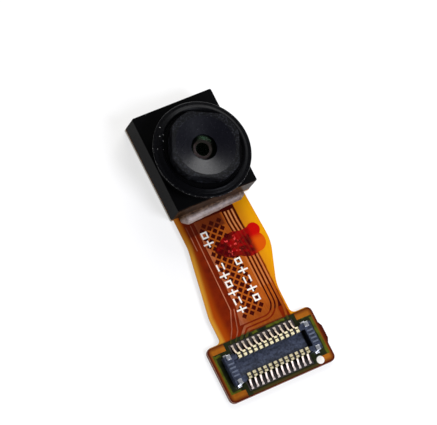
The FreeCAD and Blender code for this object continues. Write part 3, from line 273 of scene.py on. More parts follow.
def polyimide_coverlay():
    """Polyimide cover film, laminated and laser cut: glossy amber. Bare film over a pale
    ground is yellow and film over buried copper is red-brown. Along the left of the neck a
    pale band inside the cut edge is a painted glow of light through the raised film; round
    the tab the cut edge is charred."""
    material, tree, place = start_material("polyimide_coverlay")
    parts = add(tree, "SeparateXYZ", {0: place})
    across, along = parts.outputs["X"], parts.outputs["Y"]
    ripple = add(tree, "TexNoise", {"Vector": place, "Scale": 1 / 0.7, **EVEN})
    wander = add(tree, "MapRange", {"Value": ripple, "To Min": -0.07, "To Max": 0.07})
    wavy = add(tree, "Math", {0: across, 1: wander})

    # the buried copper lies between two slanting lines
    left_line = add(tree, "MapRange", {"Value": along, "From Min": -9.7, "From Max": -5.0,
                                       "To Min": -2.95, "To Max": -2.47})
    inward = add(tree, "Math", {0: wavy, 1: left_line}, operation="SUBTRACT")
    from_left = add(tree, "MapRange", {"Value": inward, "From Min": -0.40, "From Max": 0.20},
                    interpolation_type="SMOOTHSTEP")
    right_line = add(tree, "MapRange", {"Value": along, "From Min": -7.0, "From Max": -4.5,
                                        "To Min": 1.50, "To Max": 1.36})
    past_right = add(tree, "Math", {0: wavy, 1: right_line}, operation="SUBTRACT")
    from_right = add(tree, "MapRange", {"Value": past_right, "From Min": 0.06,
                                        "From Max": -0.06}, interpolation_type="SMOOTHSTEP")
    over_copper = add(tree, "Math", {0: from_left, 1: from_right}, operation="MULTIPLY")

    # the margins: yellow on the right, browner on the left and towards the tab
    to_right = add(tree, "MapRange", {"Value": across, "From Min": 1.35, "From Max": 2.1})
    to_tab = add(tree, "MapRange", {"Value": along, "From Min": -6.0, "From Max": -9.0})
    left_side = add(tree, "MixRGB", {"Fac": to_tab, "Color1": "#984F05", "Color2": "#953A00"})
    right_side = add(tree, "MixRGB", {"Fac": to_right, "Color1": "#C4740E", "Color2": "#D48E02"})
    which_side = add(tree, "MapRange", {"Value": across, "From Min": -0.5, "From Max": 0.5})
    margin = add(tree, "MixRGB", {"Fac": which_side, "Color1": left_side,
                                  "Color2": right_side})
    buried = add(tree, "MixRGB", {"Fac": ripple, "Color1": "#460800", "Color2": "#882600"})
    mesh_zone = (-1.74, 1.38, NECK_START, -10.95)
    cells = field(tree, place, mesh_zone, 0.03)
    shadow_zone = (-2.46, 0.30, -3.4, -4.55)
    shadow = field(tree, place, shadow_zone, 0.10)
    shadow = add(tree, "Math", {0: shadow, 1: 0.65}, operation="MULTIPLY")

    # painted glow of light through the raised film along the left cut edge, which follows the
    # outline and fades towards the block
    edge_low, edge_high = -3.76, -2.86
    outline = add(tree, "MapRange", {"Value": along, "From Min": LEFT_BEND_LOW,
                                     "From Max": LEFT_BEND_HIGH, "To Min": edge_low,
                                     "To Max": edge_high})
    inside = add(tree, "Math", {0: across, 1: outline}, operation="SUBTRACT")
    edge_glow = add(tree, "MapRange", {"Value": inside, "From Min": 0.42, "From Max": 0.10},
                   interpolation_type="SMOOTHSTEP")
    edge_glow_share = add(tree, "MapRange", {"Value": along, "From Min": -6.0, "From Max": -4.0,
                                        "To Min": 0.8, "To Max": 0.2})
    edge_glow = add(tree, "Math", {0: edge_glow, 1: edge_glow_share}, operation="MULTIPLY")
    colour = layered(tree, margin, [(over_copper, buried), (cells, "#3A0500"),
                                    (shadow, "#3E0E05"), (edge_glow, "#C28A2A")])

    # the tab: orange frame round the resist, then a line of char along the cut
    on_tab = add(tree, "MapRange", {"Value": along, "From Min": TAB_NEAR + 0.02,
                                    "From Max": TAB_NEAR - 0.08})
    frame_colour = add(tree, "MixRGB", {"Fac": ripple, "Color1": "#7A3E0B", "Color2": "#AE6819"})
    rim = edge_distance(tree, place)
    unevenness = add(tree, "Math", {0: wander, 1: 0.5}, operation="MULTIPLY")
    ragged = add(tree, "Math", {0: rim, 1: unevenness})
    char = add(tree, "MapRange", {"Value": ragged, "From Min": -0.34, "From Max": -0.08})
    burnt = add(tree, "MapRange", {"Value": ragged, "From Min": -0.05, "From Max": 0.02},
                interpolation_type="SMOOTHSTEP")
    tab = layered(tree, frame_colour, [(char, "#4E1806"), (burnt, "#421004")])
    colour = add(tree, "MixRGB", {"Fac": on_tab, "Color1": colour, "Color2": tab})
    bump = add(tree, "Bump", {"Height": ripple, "Distance": 0.01 * MM})
    finish_material(tree, {"Base Color": colour, "Roughness": 0.26, "IOR": 1.5,
                           "Specular IOR Level": 0.14, "Normal": bump})
    return material


def polyimide_over_copper():
    """The same film where it is stretched over bright rolled copper: orange-pink, glossy and a
    little metallic, with a painted highlight along the wide tracks, and a painted shadow of the
    block."""
    material, tree, place = start_material("polyimide_over_copper")
    parts = add(tree, "SeparateXYZ", {0: place})
    drawn_out = add(tree, "VectorMath", {0: place, 1: (1, 0.2, 1)}, operation="MULTIPLY")
    streak = add(tree, "TexNoise", {"Vector": drawn_out, "Scale": 1 / 0.16, **EVEN})
    pink = add(tree, "MixRGB", {"Fac": streak, "Color1": "#8C3E1C", "Color2": "#D08260"})
    orange = add(tree, "MixRGB", {"Fac": streak, "Color1": "#8F3A06", "Color2": "#C4641A"})
    to_right = add(tree, "MapRange", {"Value": parts.outputs["X"], "From Min": -2.0,
                                      "From Max": -1.3})
    colour = add(tree, "MixRGB", {"Fac": to_right, "Color1": pink, "Color2": orange})

    # a painted highlight runs along the middle of each wide track, where the film stands highest,
    # stronger near the block
    drift = add(tree, "MapRange", {"Value": parts.outputs["Y"], "From Min": -6.6,
                                   "From Max": -4.6, "To Max": 0.18})
    track_pitch = 0.27
    first_track = high("ground_mesh").x + 0.185
    sideways = add(tree, "Math", {0: parts.outputs["X"], 1: drift})
    sideways = add(tree, "Math", {0: sideways, 1: -first_track})
    sideways = add(tree, "Math", {0: sideways, 1: track_pitch / 2}, operation="PINGPONG")
    glint = add(tree, "MapRange", {"Value": sideways, "From Min": 0.055, "From Max": 0.02})
    straight_zone = (0.45, 1.60, NECK_START, -9.3)
    straight = field(tree, place, straight_zone, 0.08)
    glint = add(tree, "Math", {0: glint, 1: straight}, operation="MULTIPLY")
    near_block = add(tree, "MapRange", {"Value": parts.outputs["Y"], "From Min": -5.6,
                                        "From Max": -4.0, "To Min": 0.40, "To Max": 1.0})
    glint = add(tree, "Math", {0: glint, 1: near_block}, operation="MULTIPLY")
    colour = layered(tree, colour, [(glint, "#E09A60")])

    shadow_zone = (-2.6, 0.30, -3.2, -4.55)
    shadow = field(tree, place, shadow_zone, 0.10)
    shadow = add(tree, "Math", {0: shadow, 1: 0.8}, operation="MULTIPLY")
    under_mask = add(tree, "MapRange", {"Value": parts.outputs["Y"],
                                        "From Min": TAB_NEAR + 0.08,
                                        "From Max": TAB_NEAR - 0.06})
    foot = add(tree, "MapRange", {"Value": parts.outputs["Y"], "From Min": -9.8,
                                  "From Max": -10.9, "To Max": 0.40})
    colour = layered(tree, colour, [(shadow, "#5A1C0C"), (foot, "#5A1C04"),
                                    (under_mask, "#3C3A14")])
    bump = add(tree, "Bump", {"Height": streak, "Distance": 0.004 * MM})
    finish_material(tree, {"Base Color": colour, "Roughness": 0.26, "Metallic": 0.15,
                           "IOR": 1.5, "Specular IOR Level": 0.2,
                           "Normal": bump})
    return material


def polyimide_underside():
    """Lower cover film and carrier film: plain amber, with the straight tracks showing."""
    material, tree, place = start_material("polyimide_underside")
    ripple = add(tree, "TexNoise", {"Vector": place, "Scale": 1 / 0.9, **EVEN})
    parts = add(tree, "SeparateXYZ", {0: place})
    track = add(tree, "Math", {0: parts.outputs["X"], 1: -ROW_X})
    track_pitch = 0.56
    track = add(tree, "Math", {0: track, 1: track_pitch / 2}, operation="PINGPONG")
    line = add(tree, "MapRange", {"Value": track, "From Min": 0.10, "From Max": 0.17})
    track_zone = (ROW_X - 1.7, ROW_X + 1.7, -2.0, -12.6)
    inside = field(tree, place, track_zone, 0.03)
    line = add(tree, "Math", {0: line, 1: inside}, operation="MULTIPLY")
    ground = add(tree, "MixRGB", {"Fac": ripple, "Color1": "#B5700E", "Color2": "#D08A14"})
    rim = edge_distance(tree, place)
    char = add(tree, "MapRange", {"Value": rim, "From Min": -0.16, "From Max": -0.04})
    on_tab = add(tree, "MapRange", {"Value": parts.outputs["Y"], "From Min": TAB_NEAR + 0.02,
                                    "From Max": TAB_NEAR - 0.08})
    char = add(tree, "Math", {0: char, 1: on_tab}, operation="MULTIPLY")
    colour = layered(tree, ground, [(line, "#8E3D10"), (char, "#6E260C")])
    bump = add(tree, "Bump", {"Height": ripple, "Distance": 0.01 * MM})
    finish_material(tree, {"Base Color": colour, "Roughness": 0.35, "IOR": 1.7,
                           "Normal": bump})
    return material


def polyimide_carrier():
    """Carrier film in the openings of the resist: brown-black with flux that ran between the
    pads. Its cut edge elsewhere is amber."""
    material, tree, place = start_material("polyimide_carrier")
    flux = add(tree, "TexNoise", {"Vector": place, "Scale": 1 / 0.25, **EVEN})
    open_zone = (ROW_X - 3.3, ROW_X + 3.3, TAB_NEAR - 0.2, TAB_FAR + 0.2)
    opening = field(tree, place, open_zone, 0.03)
    amber = add(tree, "MixRGB", {"Fac": flux, "Color1": "#B5700E", "Color2": "#D08A14"})
    dark = add(tree, "MixRGB", {"Fac": flux, "Color1": "#0E0605", "Color2": "#24100A"})
    colour = layered(tree, amber, [(opening, dark)])
    bump = add(tree, "Bump", {"Height": flux, "Distance": 0.006 * MM})
    finish_material(tree, {"Base Color": colour, "Roughness": 0.4, "IOR": 1.6,
                           "Normal": bump})
    return material


def photoimaged_resist():
    """Green solder resist, screened and exposed: near black over bare film, olive where
    copper lies under it, with a wet gloss."""
    material, tree, place = start_material("photoimaged_resist")
    cloud = add(tree, "TexNoise", {"Vector": place, "Scale": 1 / 0.35, **EVEN})
    drift = add(tree, "TexNoise", {"Vector": place, "Scale": 1 / 0.4, **EVEN})
    warped = add(tree, "MixRGB", {"Fac": 0.16, "Color1": place,
                                  "Color2": drift.outputs["Color"]}, blend_type="ADD")
    ground = add(tree, "MixRGB", {"Fac": cloud, "Color1": "#10160A", "Color2": "#282C12"})
    olive = add(tree, "MixRGB", {"Fac": cloud, "Color1": "#2E3408", "Color2": "#5E6214"})
    copper_zones = [
        (-4.75, -4.50, -12.2, -15.0),
        (2.66, 2.90, -12.3, -15.1),
        (-4.6, -3.9, -14.85, -15.05),
        (-4.6, -4.1, -12.25, -12.40),
        (-1.45, -1.05, -11.7, -11.86),
        (-0.35, 1.0, -11.7, -11.84),
        (2.1, 2.8, -12.05, -12.20),
    ]
    end_strip = (-3.3, 2.1, -15.38, -15.80)
    dark_zones = [(-2.04, -1.60, -11.7, -12.2), (-0.89, -0.45, -11.7, -12.2)]
    layers = [(field(tree, warped, zone, 0.05), olive) for zone in copper_zones]
    layers.append((field(tree, place, end_strip, 0.05), "#3C3012"))
    layers += [(field(tree, warped, zone, 0.06), "#14180C") for zone in dark_zones]
    colour = layered(tree, ground, layers)
    bump = add(tree, "Bump", {"Height": cloud, "Distance": 0.010 * MM})
    finish_material(tree, {"Base Color": colour, "Roughness": 0.24, "IOR": 1.5,
                           "Specular IOR Level": 0.25, "Normal": bump})
    return material


def moulded_header_polymer():
    """Dark blue-grey connector polymer: glass-filled, mottled by the flow of the melt. The
    tops of the ribs are painted a paler grey as a highlight, and the slot at the end of the trough
    is painted black as its shade."""
    material, tree, place = start_material("moulded_header_polymer")
    mottle = add(tree, "TexNoise", {"Vector": place, "Scale": 1 / 0.14, **EVEN})
    drawn_out = add(tree, "VectorMath", {0: place, 1: (0.5, 1, 1)}, operation="MULTIPLY")
    flow = add(tree, "TexNoise", {"Vector": drawn_out, "Scale": 1 / 0.2, **EVEN})
    mixed = add(tree, "Math", {0: mottle, 1: flow}, operation="MULTIPLY")
    mixed = add(tree, "MapRange", {"Value": mixed, "From Min": 0.12, "From Max": 0.40})
    colour = add(tree, "MixRGB", {"Fac": mixed, "Color1": "#1E222C", "Color2": "#3E4456"})
    # painted shade: the slot at the end of the trough is painted black
    slot_end = high("connector_housing").x - 0.565
    shaded_slot_zone = (slot_end - 0.24, slot_end, ROW_Y + 0.60, ROW_Y - 0.60)
    slot = field(tree, place, shaded_slot_zone, 0.02)
    # painted highlight: the tops of the ribs are painted a paler grey
    rib_top = high("connector_housing").z
    up = add(tree, "SeparateXYZ", {0: place}).outputs["Z"]
    rib = add(tree, "MapRange", {"Value": up, "From Min": rib_top - 0.022,
                                 "From Max": rib_top - 0.010})
    colour = layered(tree, colour, [(slot, "#040406"), (rib, "#585E6C")])
    bump = add(tree, "Bump", {"Height": mottle, "Distance": 0.004 * MM})
    finish_material(tree, {"Base Color": colour, "Roughness": 0.42, "IOR": 1.55,
                           "Specular IOR Level": 0.12, "Normal": bump})
    return material


def plated_contact():
    """Phosphor bronze, gold plated over the wall and bright tin on the tails. The flanks of each
    strip are painted dark as shade, a line of painted shade crosses the crown of each gold
    hoop, and the gold of the row at the circuit's end is duller."""
    material, tree, place = start_material("plated_contact")
    streak = add(tree, "TexNoise", {"Vector": place, "Scale": 1 / 0.05, **EVEN})
    parts = add(tree, "SeparateXYZ", {0: place})
    out = add(tree, "Math", {0: parts.outputs["Y"], 1: -ROW_Y})
    out = add(tree, "Math", {0: out}, operation="ABSOLUTE")
    tail = add(tree, "MapRange", {"Value": out, "From Min": 0.94, "From Max": 0.98})
    # painted shade: a dark line across the crown of each gold hoop, between its two highlights
    crown_shade_at, crown_shade_half = 0.765, 0.035
    crown_shade = add(tree, "Math", {0: out, 1: crown_shade_at, 2: crown_shade_half}, operation="COMPARE")
    gold = add(tree, "MixRGB", {"Fac": streak, "Color1": "#C6BA8E", "Color2": "#EAE0C0"})
    across = add(tree, "Math", {0: parts.outputs["X"], 1: -FIRST_CONTACT})
    across = add(tree, "Math", {0: across, 1: CONTACT_PITCH / 2}, operation="PINGPONG")
    # painted shade on the flanks: the tin tails darken at their sides, and the gold at its edges
    side = add(tree, "MapRange", {"Value": across, "From Min": 0.045, "From Max": 0.075})
    head_row = add(tree, "MapRange", {"Value": parts.outputs["Y"], "From Min": ROW_Y - 0.1,
                                      "From Max": ROW_Y + 0.1})
    bright = add(tree, "MixRGB", {"Fac": head_row, "Color1": "#CEBEB2", "Color2": "#A69888"})
    tin = add(tree, "MixRGB", {"Fac": side, "Color1": bright, "Color2": "#2A1C16"})
    gold_flank_shade = add(tree, "MapRange", {"Value": across, "From Min": 0.10, "From Max": 0.13})
    dull = add(tree, "MapRange", {"Value": head_row, "To Min": 0.35, "To Max": 0.0})
    gold = layered(tree, gold, [(dull, "#5E563E"), (crown_shade, "#4A3E26"), (gold_flank_shade, "#3A3020")])
    colour = add(tree, "MixRGB", {"Fac": tail, "Color1": gold, "Color2": tin})
    rough = add(tree, "MapRange", {"Value": streak, "To Min": 0.45, "To Max": 0.65})
    bump = add(tree, "Bump", {"Height": streak, "Distance": 0.012 * MM})
    finish_material(tree, {"Base Color": colour, "Metallic": 1.0, "Roughness": rough,
                           "Normal": bump})
    return material


def tinned_strip():
    """Pressed brass strip with a bright tin plating, for the nails at the corners."""
    material, tree, place = start_material("tinned_strip")
    streak = add(tree, "TexNoise", {"Vector": place, "Scale": 1 / 0.08, **EVEN})
    colour = add(tree, "MixRGB", {"Fac": streak, "Color1": "#B9BCC4", "Color2": "#F2F2F4"})
    rough = add(tree, "MapRange", {"Value": streak, "To Min": 0.2, "To Max": 0.4})
    bump = add(tree, "Bump", {"Height": streak, "Distance": 0.004 * MM})
    finish_material(tree, {"Base Color": colour, "Metallic": 1.0, "Roughness": rough,
                           "Normal": bump})
    return material


def reflowed_solder():
    """Lead-free solder, melted and frozen: bright grey with a fine frosted skin."""
    material, tree, place = start_material("reflowed_solder")
    frost = add(tree, "TexNoise", {"Vector": place, "Scale": 1 / 0.04, **EVEN})
    colour = add(tree, "MixRGB", {"Fac": frost, "Color1": "#5C544E", "Color2": "#968C84"})
    bump = add(tree, "Bump", {"Height": frost, "Distance": 0.004 * MM})
    finish_material(tree, {"Base Color": colour, "Metallic": 1.0, "Roughness": 0.5,
                           "Normal": bump})
    return material


def rolled_copper():
    """Rolled copper foil under the films, and its pads on the tab, browned by flux."""
    material, tree, place = start_material("rolled_copper")
    drawn_out = add(tree, "VectorMath", {0: place, 1: (1, 0.15, 1)}, operation="MULTIPLY")
    streak = add(tree, "TexNoise", {"Vector": drawn_out, "Scale": 1 / 0.08, **EVEN})
    bare = add(tree, "MixRGB", {"Fac": streak, "Color1": "#B06A3C", "Color2": "#E0A070"})
    parts = add(tree, "SeparateXYZ", {0: place})
    on_tab = add(tree, "MapRange", {"Value": parts.outputs["Y"], "From Min": TAB_NEAR - 0.05,
                                    "From Max": TAB_NEAR - 0.15})
    colour = add(tree, "MixRGB", {"Fac": on_tab, "Color1": bare, "Color2": "#3E302A"})
    finish_material(tree, {"Base Color": colour, "Metallic": 1.0, "Roughness": 0.42})
    return material


def cured_epoxy():
    """Clear structural epoxy that was run along the foot of the block: it shows the brown
    shadow of the wall behind it, and only its outer edge, which is full of fine bubbles, is
    milky. Where it thins out over the film it takes the film's tone."""
    material, tree, place = start_material("cured_epoxy")
    milk = add(tree, "TexNoise", {"Vector": place, "Scale": 1 / 0.30, **EVEN})
    drawn_out = add(tree, "VectorMath", {0: place, 1: (0.25, 1, 1)}, operation="MULTIPLY")
    streaks = add(tree, "TexNoise", {"Vector": drawn_out, "Scale": 1 / 0.08, **EVEN})
    parts = add(tree, "SeparateXYZ", {0: place})
    line = add(tree, "MapRange", {"Value": parts.outputs["X"], "From Min": -2.5, "From Max": 2.5,
                                  "To Min": NECK_START - 0.34, "To Max": NECK_START - 0.14})
    beyond = add(tree, "Math", {0: line, 1: parts.outputs["Y"]}, operation="SUBTRACT")
    uneven = add(tree, "MapRange", {"Value": milk, "To Min": -0.07, "To Max": 0.07})
    beyond = add(tree, "Math", {0: beyond, 1: uneven})
    outer = add(tree, "MapRange", {"Value": beyond, "From Min": -0.24, "From Max": 0.16},
                interpolation_type="SMOOTHSTEP")
    mottle = add(tree, "Math", {0: streaks, 1: milk}, operation="MULTIPLY")
    patch = add(tree, "MapRange", {"Value": mottle, "From Min": 0.16, "From Max": 0.36})
    pale = add(tree, "MixRGB", {"Fac": patch, "Color1": "#84746C", "Color2": "#9E8E86"})
    brown = add(tree, "MixRGB", {"Fac": patch, "Color1": "#321F12", "Color2": "#684E3A"})
    thick = add(tree, "MapRange", {"Value": parts.outputs["Z"], "From Min": FILM_TOP,
                                   "From Max": FILM_TOP + 0.08})
    bubbles = add(tree, "TexNoise", {"Vector": place, "Scale": 1 / 0.05, **EVEN})
    ragged = add(tree, "MapRange", {"Value": bubbles, "To Min": 0.9, "To Max": -0.9})
    thick = add(tree, "Math", {0: thick, 1: ragged}, use_clamp=True)
    pale = add(tree, "MixRGB", {"Fac": thick, "Color1": "#96705A", "Color2": pale})
    to_right = add(tree, "MapRange", {"Value": parts.outputs["X"], "From Min": -1.2,
                                      "From Max": 2.2, "To Max": 0.55})
    pale = add(tree, "MixRGB", {"Fac": to_right, "Color1": pale, "Color2": brown})
    colour = add(tree, "MixRGB", {"Fac": outer, "Color1": brown, "Color2": pale})
    bump = add(tree, "Bump", {"Height": streaks, "Distance": 0.003 * MM})
    finish_material(tree, {"Base Color": colour, "Roughness": 0.34, "IOR": 1.5,
                           "Specular IOR Level": 0.2,
                           "Subsurface Weight": 0.3, "Subsurface Radius": (1.0, 0.7, 0.5),
                           "Subsurface Scale": 0.05 * MM,
                           "Normal": bump})
    return material


def etched_steel():
    """Stainless steel plate, etched to shape: half-bright grey with a rolled grain."""
    material, tree, place = start_material("etched_steel")
    drawn_out = add(tree, "VectorMath", {0: place, 1: (0.06, 1, 1)}, operation="MULTIPLY")
    roll = add(tree, "TexNoise", {"Vector": drawn_out, "Scale": 1 / 0.05, **EVEN})
    colour = add(tree, "MixRGB", {"Fac": roll, "Color1": "#8F8C86", "Color2": "#B8B5AE"})
    rough = add(tree, "MapRange", {"Value": roll, "To Min": 0.28, "To Max": 0.45})
    bump = add(tree, "Bump", {"Height": roll, "Distance": 0.002 * MM})
    finish_material(tree, {"Base Color": colour, "Metallic": 1.0, "Roughness": rough,
                           "Normal": bump})
    return material


def routed_glass_epoxy():
    """Glass-epoxy stiffener: woven yellow-brown sheet, charred along its laser-cut edge.
    The weave is 0.4 mm from thread to thread."""
    material, tree, place = start_material("routed_glass_epoxy")
    thread_spacing = 0.4
    weave = add(tree, "TexChecker", {"Vector": place, "Scale": 2 / thread_spacing})
    soft = add(tree, "TexNoise", {"Vector": place, "Scale": 1 / 0.3, **EVEN})
    weft = add(tree, "MixRGB", {"Fac": weave.outputs["Fac"], "Color1": "#A98E48",
                                "Color2": "#9A7E3A"})
    soft = add(tree, "Math", {0: soft, 1: 0.5}, operation="MULTIPLY")
    colour = add(tree, "MixRGB", {"Fac": soft, "Color1": weft, "Color2": "#7E6430"})
    rim = edge_distance(tree, place)
    char = add(tree, "MapRange", {"Value": rim, "From Min": -0.14, "From Max": -0.03})
    colour = layered(tree, colour, [(char, "#5E220C")])
    bump = add(tree, "Bump", {"Height": weave.outputs["Fac"], "Distance": 0.003 * MM})
    finish_material(tree, {"Base Color": colour, "Roughness": 0.5, "IOR": 1.55,
                           "Normal": bump})
    return material


def printed_white_ink():
    """White epoxy marking ink, screened on: matt, slightly uneven in thickness."""
    material, tree, place = start_material("printed_white_ink")
    blotch = add(tree, "TexNoise", {"Vector": place, "Scale": 1 / 0.12, **EVEN})
    colour = add(tree, "MixRGB", {"Fac": blotch, "Color1": "#D8D0C2", "Color2": "#F0EAE0"})
    bump = add(tree, "Bump", {"Height": blotch, "Distance": 0.006 * MM})
    finish_material(tree, {"Base Color": colour, "Roughness": 0.5, "IOR": 1.5,
                           "Normal": bump})
    return material


def marker_red_ink():
    """Red inspection ink put on with a pen: deep crimson with a few pale flecks over the mesh,
    which are painted highlights of the wet ink, scarlet at its round end, and thin orange in
    the tail. The tracks show through it."""
    material, tree, place = start_material("marker_red_ink")
    cloud = add(tree, "TexNoise", {"Vector": place, "Scale": 1 / 0.55, **EVEN, "Detail": 1.0})
    wet_highlight_noise = add(tree, "TexNoise", {"Vector": place, "Scale": 1 / 0.20, **EVEN, "Detail": 1.0})
    parts = add(tree, "SeparateXYZ", {0: place})
    across, along = parts.outputs["X"], parts.outputs["Y"]
    pool = add(tree, "MapRange", {"Value": cloud, "From Min": 0.40, "From Max": 0.60})
    deep = add(tree, "MixRGB", {"Fac": pool, "Color1": "#500003", "Color2": "#980206"})
    # painted highlights: a few pale flecks of wet shine over the mesh
    pale = add(tree, "MapRange", {"Value": wet_highlight_noise, "From Min": 0.635, "From Max": 0.70},
               interpolation_type="SMOOTHSTEP")
    mesh_zone = (-0.45, 0.60, -5.45, -6.65)
    over_mesh = field(tree, place, mesh_zone, 0.15)
    pale = add(tree, "Math", {0: pale, 1: over_mesh}, operation="MULTIPLY")
    to_right = add(tree, "MapRange", {"Value": across, "From Min": 1.25, "From Max": 1.75},
                   interpolation_type="SMOOTHSTEP")
    down = add(tree, "MapRange", {"Value": along, "From Min": -5.85, "From Max": -6.35},
               interpolation_type="SMOOTHSTEP")
    tail = add(tree, "Math", {0: to_right, 1: down}, operation="MULTIPLY")
    colour = layered(tree, deep, [(pale, "#EA4A46"), (to_right, "#C40804"), (tail, "#D65404")])
    bump = add(tree, "Bump", {"Height": cloud, "Distance": 0.01 * MM})
    finish_material(tree, {"Base Color": colour, "Roughness": 0.3, "IOR": 1.5, "Alpha": 0.80,
                           "Specular IOR Level": 0.08, "Normal": bump})
    return material


def sintered_ceramic():
    """Body of a chip capacitor: tan fired ceramic with a matt skin."""
    material, tree, place = start_material("sintered_ceramic")
    speck = add(tree, "TexNoise", {"Vector": place, "Scale": 1 / 0.05, **EVEN})
    colour = add(tree, "MixRGB", {"Fac": speck, "Color1": "#8A6A4C", "Color2": "#A98763"})
    finish_material(tree, {"Base Color": colour, "Roughness": 0.6})
    return material


def polished_silicon():
    """Sensor die: dark polished silicon under colour filters, with a purple cast."""
    material, tree, place = start_material("polished_silicon")
    cells = add(tree, "TexChecker", {"Vector": place, "Scale": 1 / 0.05})
    colour = add(tree, "MixRGB", {"Fac": cells.outputs["Fac"], "Color1": "#1A1424",
                                  "Color2": "#241C30"})
    finish_material(tree, {"Base Color": colour, "Roughness": 0.12, "IOR": 3.5})
    return material


def drawn_gold_wire():
    """Gold bonding wire, drawn fine and bright."""
    material, tree, place = start_material("drawn_gold_wire")
    streak = add(tree, "TexNoise", {"Vector": place, "Scale": 1 / 0.03, **EVEN})
    colour = add(tree, "MixRGB", {"Fac": streak, "Color1": "#D9A441", "Color2": "#F3CC72"})
    finish_material(tree, {"Base Color": colour, "Metallic": 1.0, "Roughness": 0.2})
    return material


# Pieces

def new_piece(name, mesh, material):
    """Object that rides on the part, with one material."""
    piece = bpy.data.objects.new(name, mesh)
    bpy.context.scene.collection.objects.link(piece)
    mesh.materials.clear()
    mesh.materials.append(material)
    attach(piece, "root")
    return piece


def new_mesh(name, bm):
    """Mesh data made from a bmesh, which is freed."""
    mesh = bpy.data.meshes.new(name)
    bm.to_mesh(mesh)
    bm.free()
    return mesh


def smooth(piece, angle):
    """Shades a piece smooth except at edges sharper than an angle in degrees."""
    piece.data.shade_smooth()
    piece.data.set_sharp_from_angle(angle=math.radians(angle))


def soften(piece, width, angle=30, segments=3):
    """Rounds the sharp edges of a piece and shades the rest smooth."""
    smooth(piece, angle)
    bevel = piece.modifiers.new("edges", "BEVEL")
    bevel.width = width * MM
    bevel.segments = segments
    bevel.limit_method = "ANGLE"
    bevel.angle_limit = math.radians(angle)
    bevel.use_clamp_overlap = True
    bevel.harden_normals = True


def taken_from(node, keep=None):
    """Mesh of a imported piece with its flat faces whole, cut off beyond one level of Y."""
    bm = bmesh.new()
    bm.from_mesh(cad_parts[node].data)
    bmesh.ops.remove_doubles(bm, verts=bm.verts, dist=1e-4 * MM)
    if keep is not None:
        cutting = bmesh.ops.bisect_plane(bm, geom=bm.verts[:] + bm.edges[:] + bm.faces[:],
                                         plane_co=(0, keep * MM, 0), plane_no=(0, -1, 0),
                                         clear_outer=True, dist=1e-5 * MM)
        open_edges = [item for item in cutting["geom_cut"] if isinstance(item, bmesh.types.BMEdge)]
        bmesh.ops.holes_fill(bm, edges=open_edges)
    bmesh.ops.dissolve_limit(bm, angle_limit=math.radians(1), verts=bm.verts, edges=bm.edges)
    return new_mesh(node + "_dressed", bm)


def dress(node, material, width):
    """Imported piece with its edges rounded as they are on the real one."""
    piece = new_piece(node + "_finished", taken_from(node), material)
    soften(piece, width)
    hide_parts(node)
    return piece


def lathe(name, profile, turns=192, shape=None):
    """Closed mesh turned about Z from a profile of (radius, height) in millimetres.
    shape changes a radius by its angle and its place in the profile."""
    bm = bmesh.new()
    rings = []
    for number in range(turns):
        angle = 2 * math.pi * number / turns
        ring = []
        for place, (radius, height) in enumerate(profile):
            if shape:
                radius = shape(radius, angle, place)
            ring.append(bm.verts.new((radius * math.cos(angle) * MM,
                                      radius * math.sin(angle) * MM, height * MM)))
        rings.append(ring)
    for number, here in enumerate(rings):
        following = rings[(number + 1) % turns]
        for place in range(len(profile)):
            after = (place + 1) % len(profile)
            bm.faces.new((here[place], following[place], following[after], here[after]))
    bmesh.ops.remove_doubles(bm, verts=bm.verts, dist=1e-5 * MM)
    bmesh.ops.recalc_face_normals(bm, faces=bm.faces)
    return new_mesh(name, bm)


def arc(centre, radius, start, end, steps):
    """Points along an arc in a profile, angles in degrees."""
    angles = [math.radians(start + (end - start) * i / steps) for i in range(steps + 1)]
    return [(centre[0] + radius * math.cos(a), centre[1] + radius * math.sin(a)) for a in angles]


def make_sealing_ring(material):
    """Ring with a thin outer lip, a hollow sloping shoulder and a rounded crown."""
    bottom = low("sealing_ring").z
    top = high("sealing_ring").z
    outer = high("sealing_ring").x
    bore, foot = 2.66, 2.95
    lip, lip_height = 0.07, 0.37
    crown, crown_inset = 0.075, 0.17
    under_lip = (outer - 0.10, bottom + 0.24)
    shoulder = [(outer - 0.26, top - 0.17), (outer - 0.36, top - 0.10)]
    bore_edge = [(bore + 0.06, top - 0.06), (bore, top - 0.10)]
    profile = [(bore, bottom), (foot, bottom), under_lip]
    profile += arc((outer - lip, bottom + lip_height), lip, -60, 100, 8)
    profile += shoulder
    profile += arc((bore + crown_inset, top - crown), crown, 60, 120, 5)
    profile += bore_edge
    piece = new_piece("sealing_ring_moulded", lathe("sealing_ring_moulded", profile), material)
    soften(piece, 0.012, angle=25)
    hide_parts("sealing_ring")


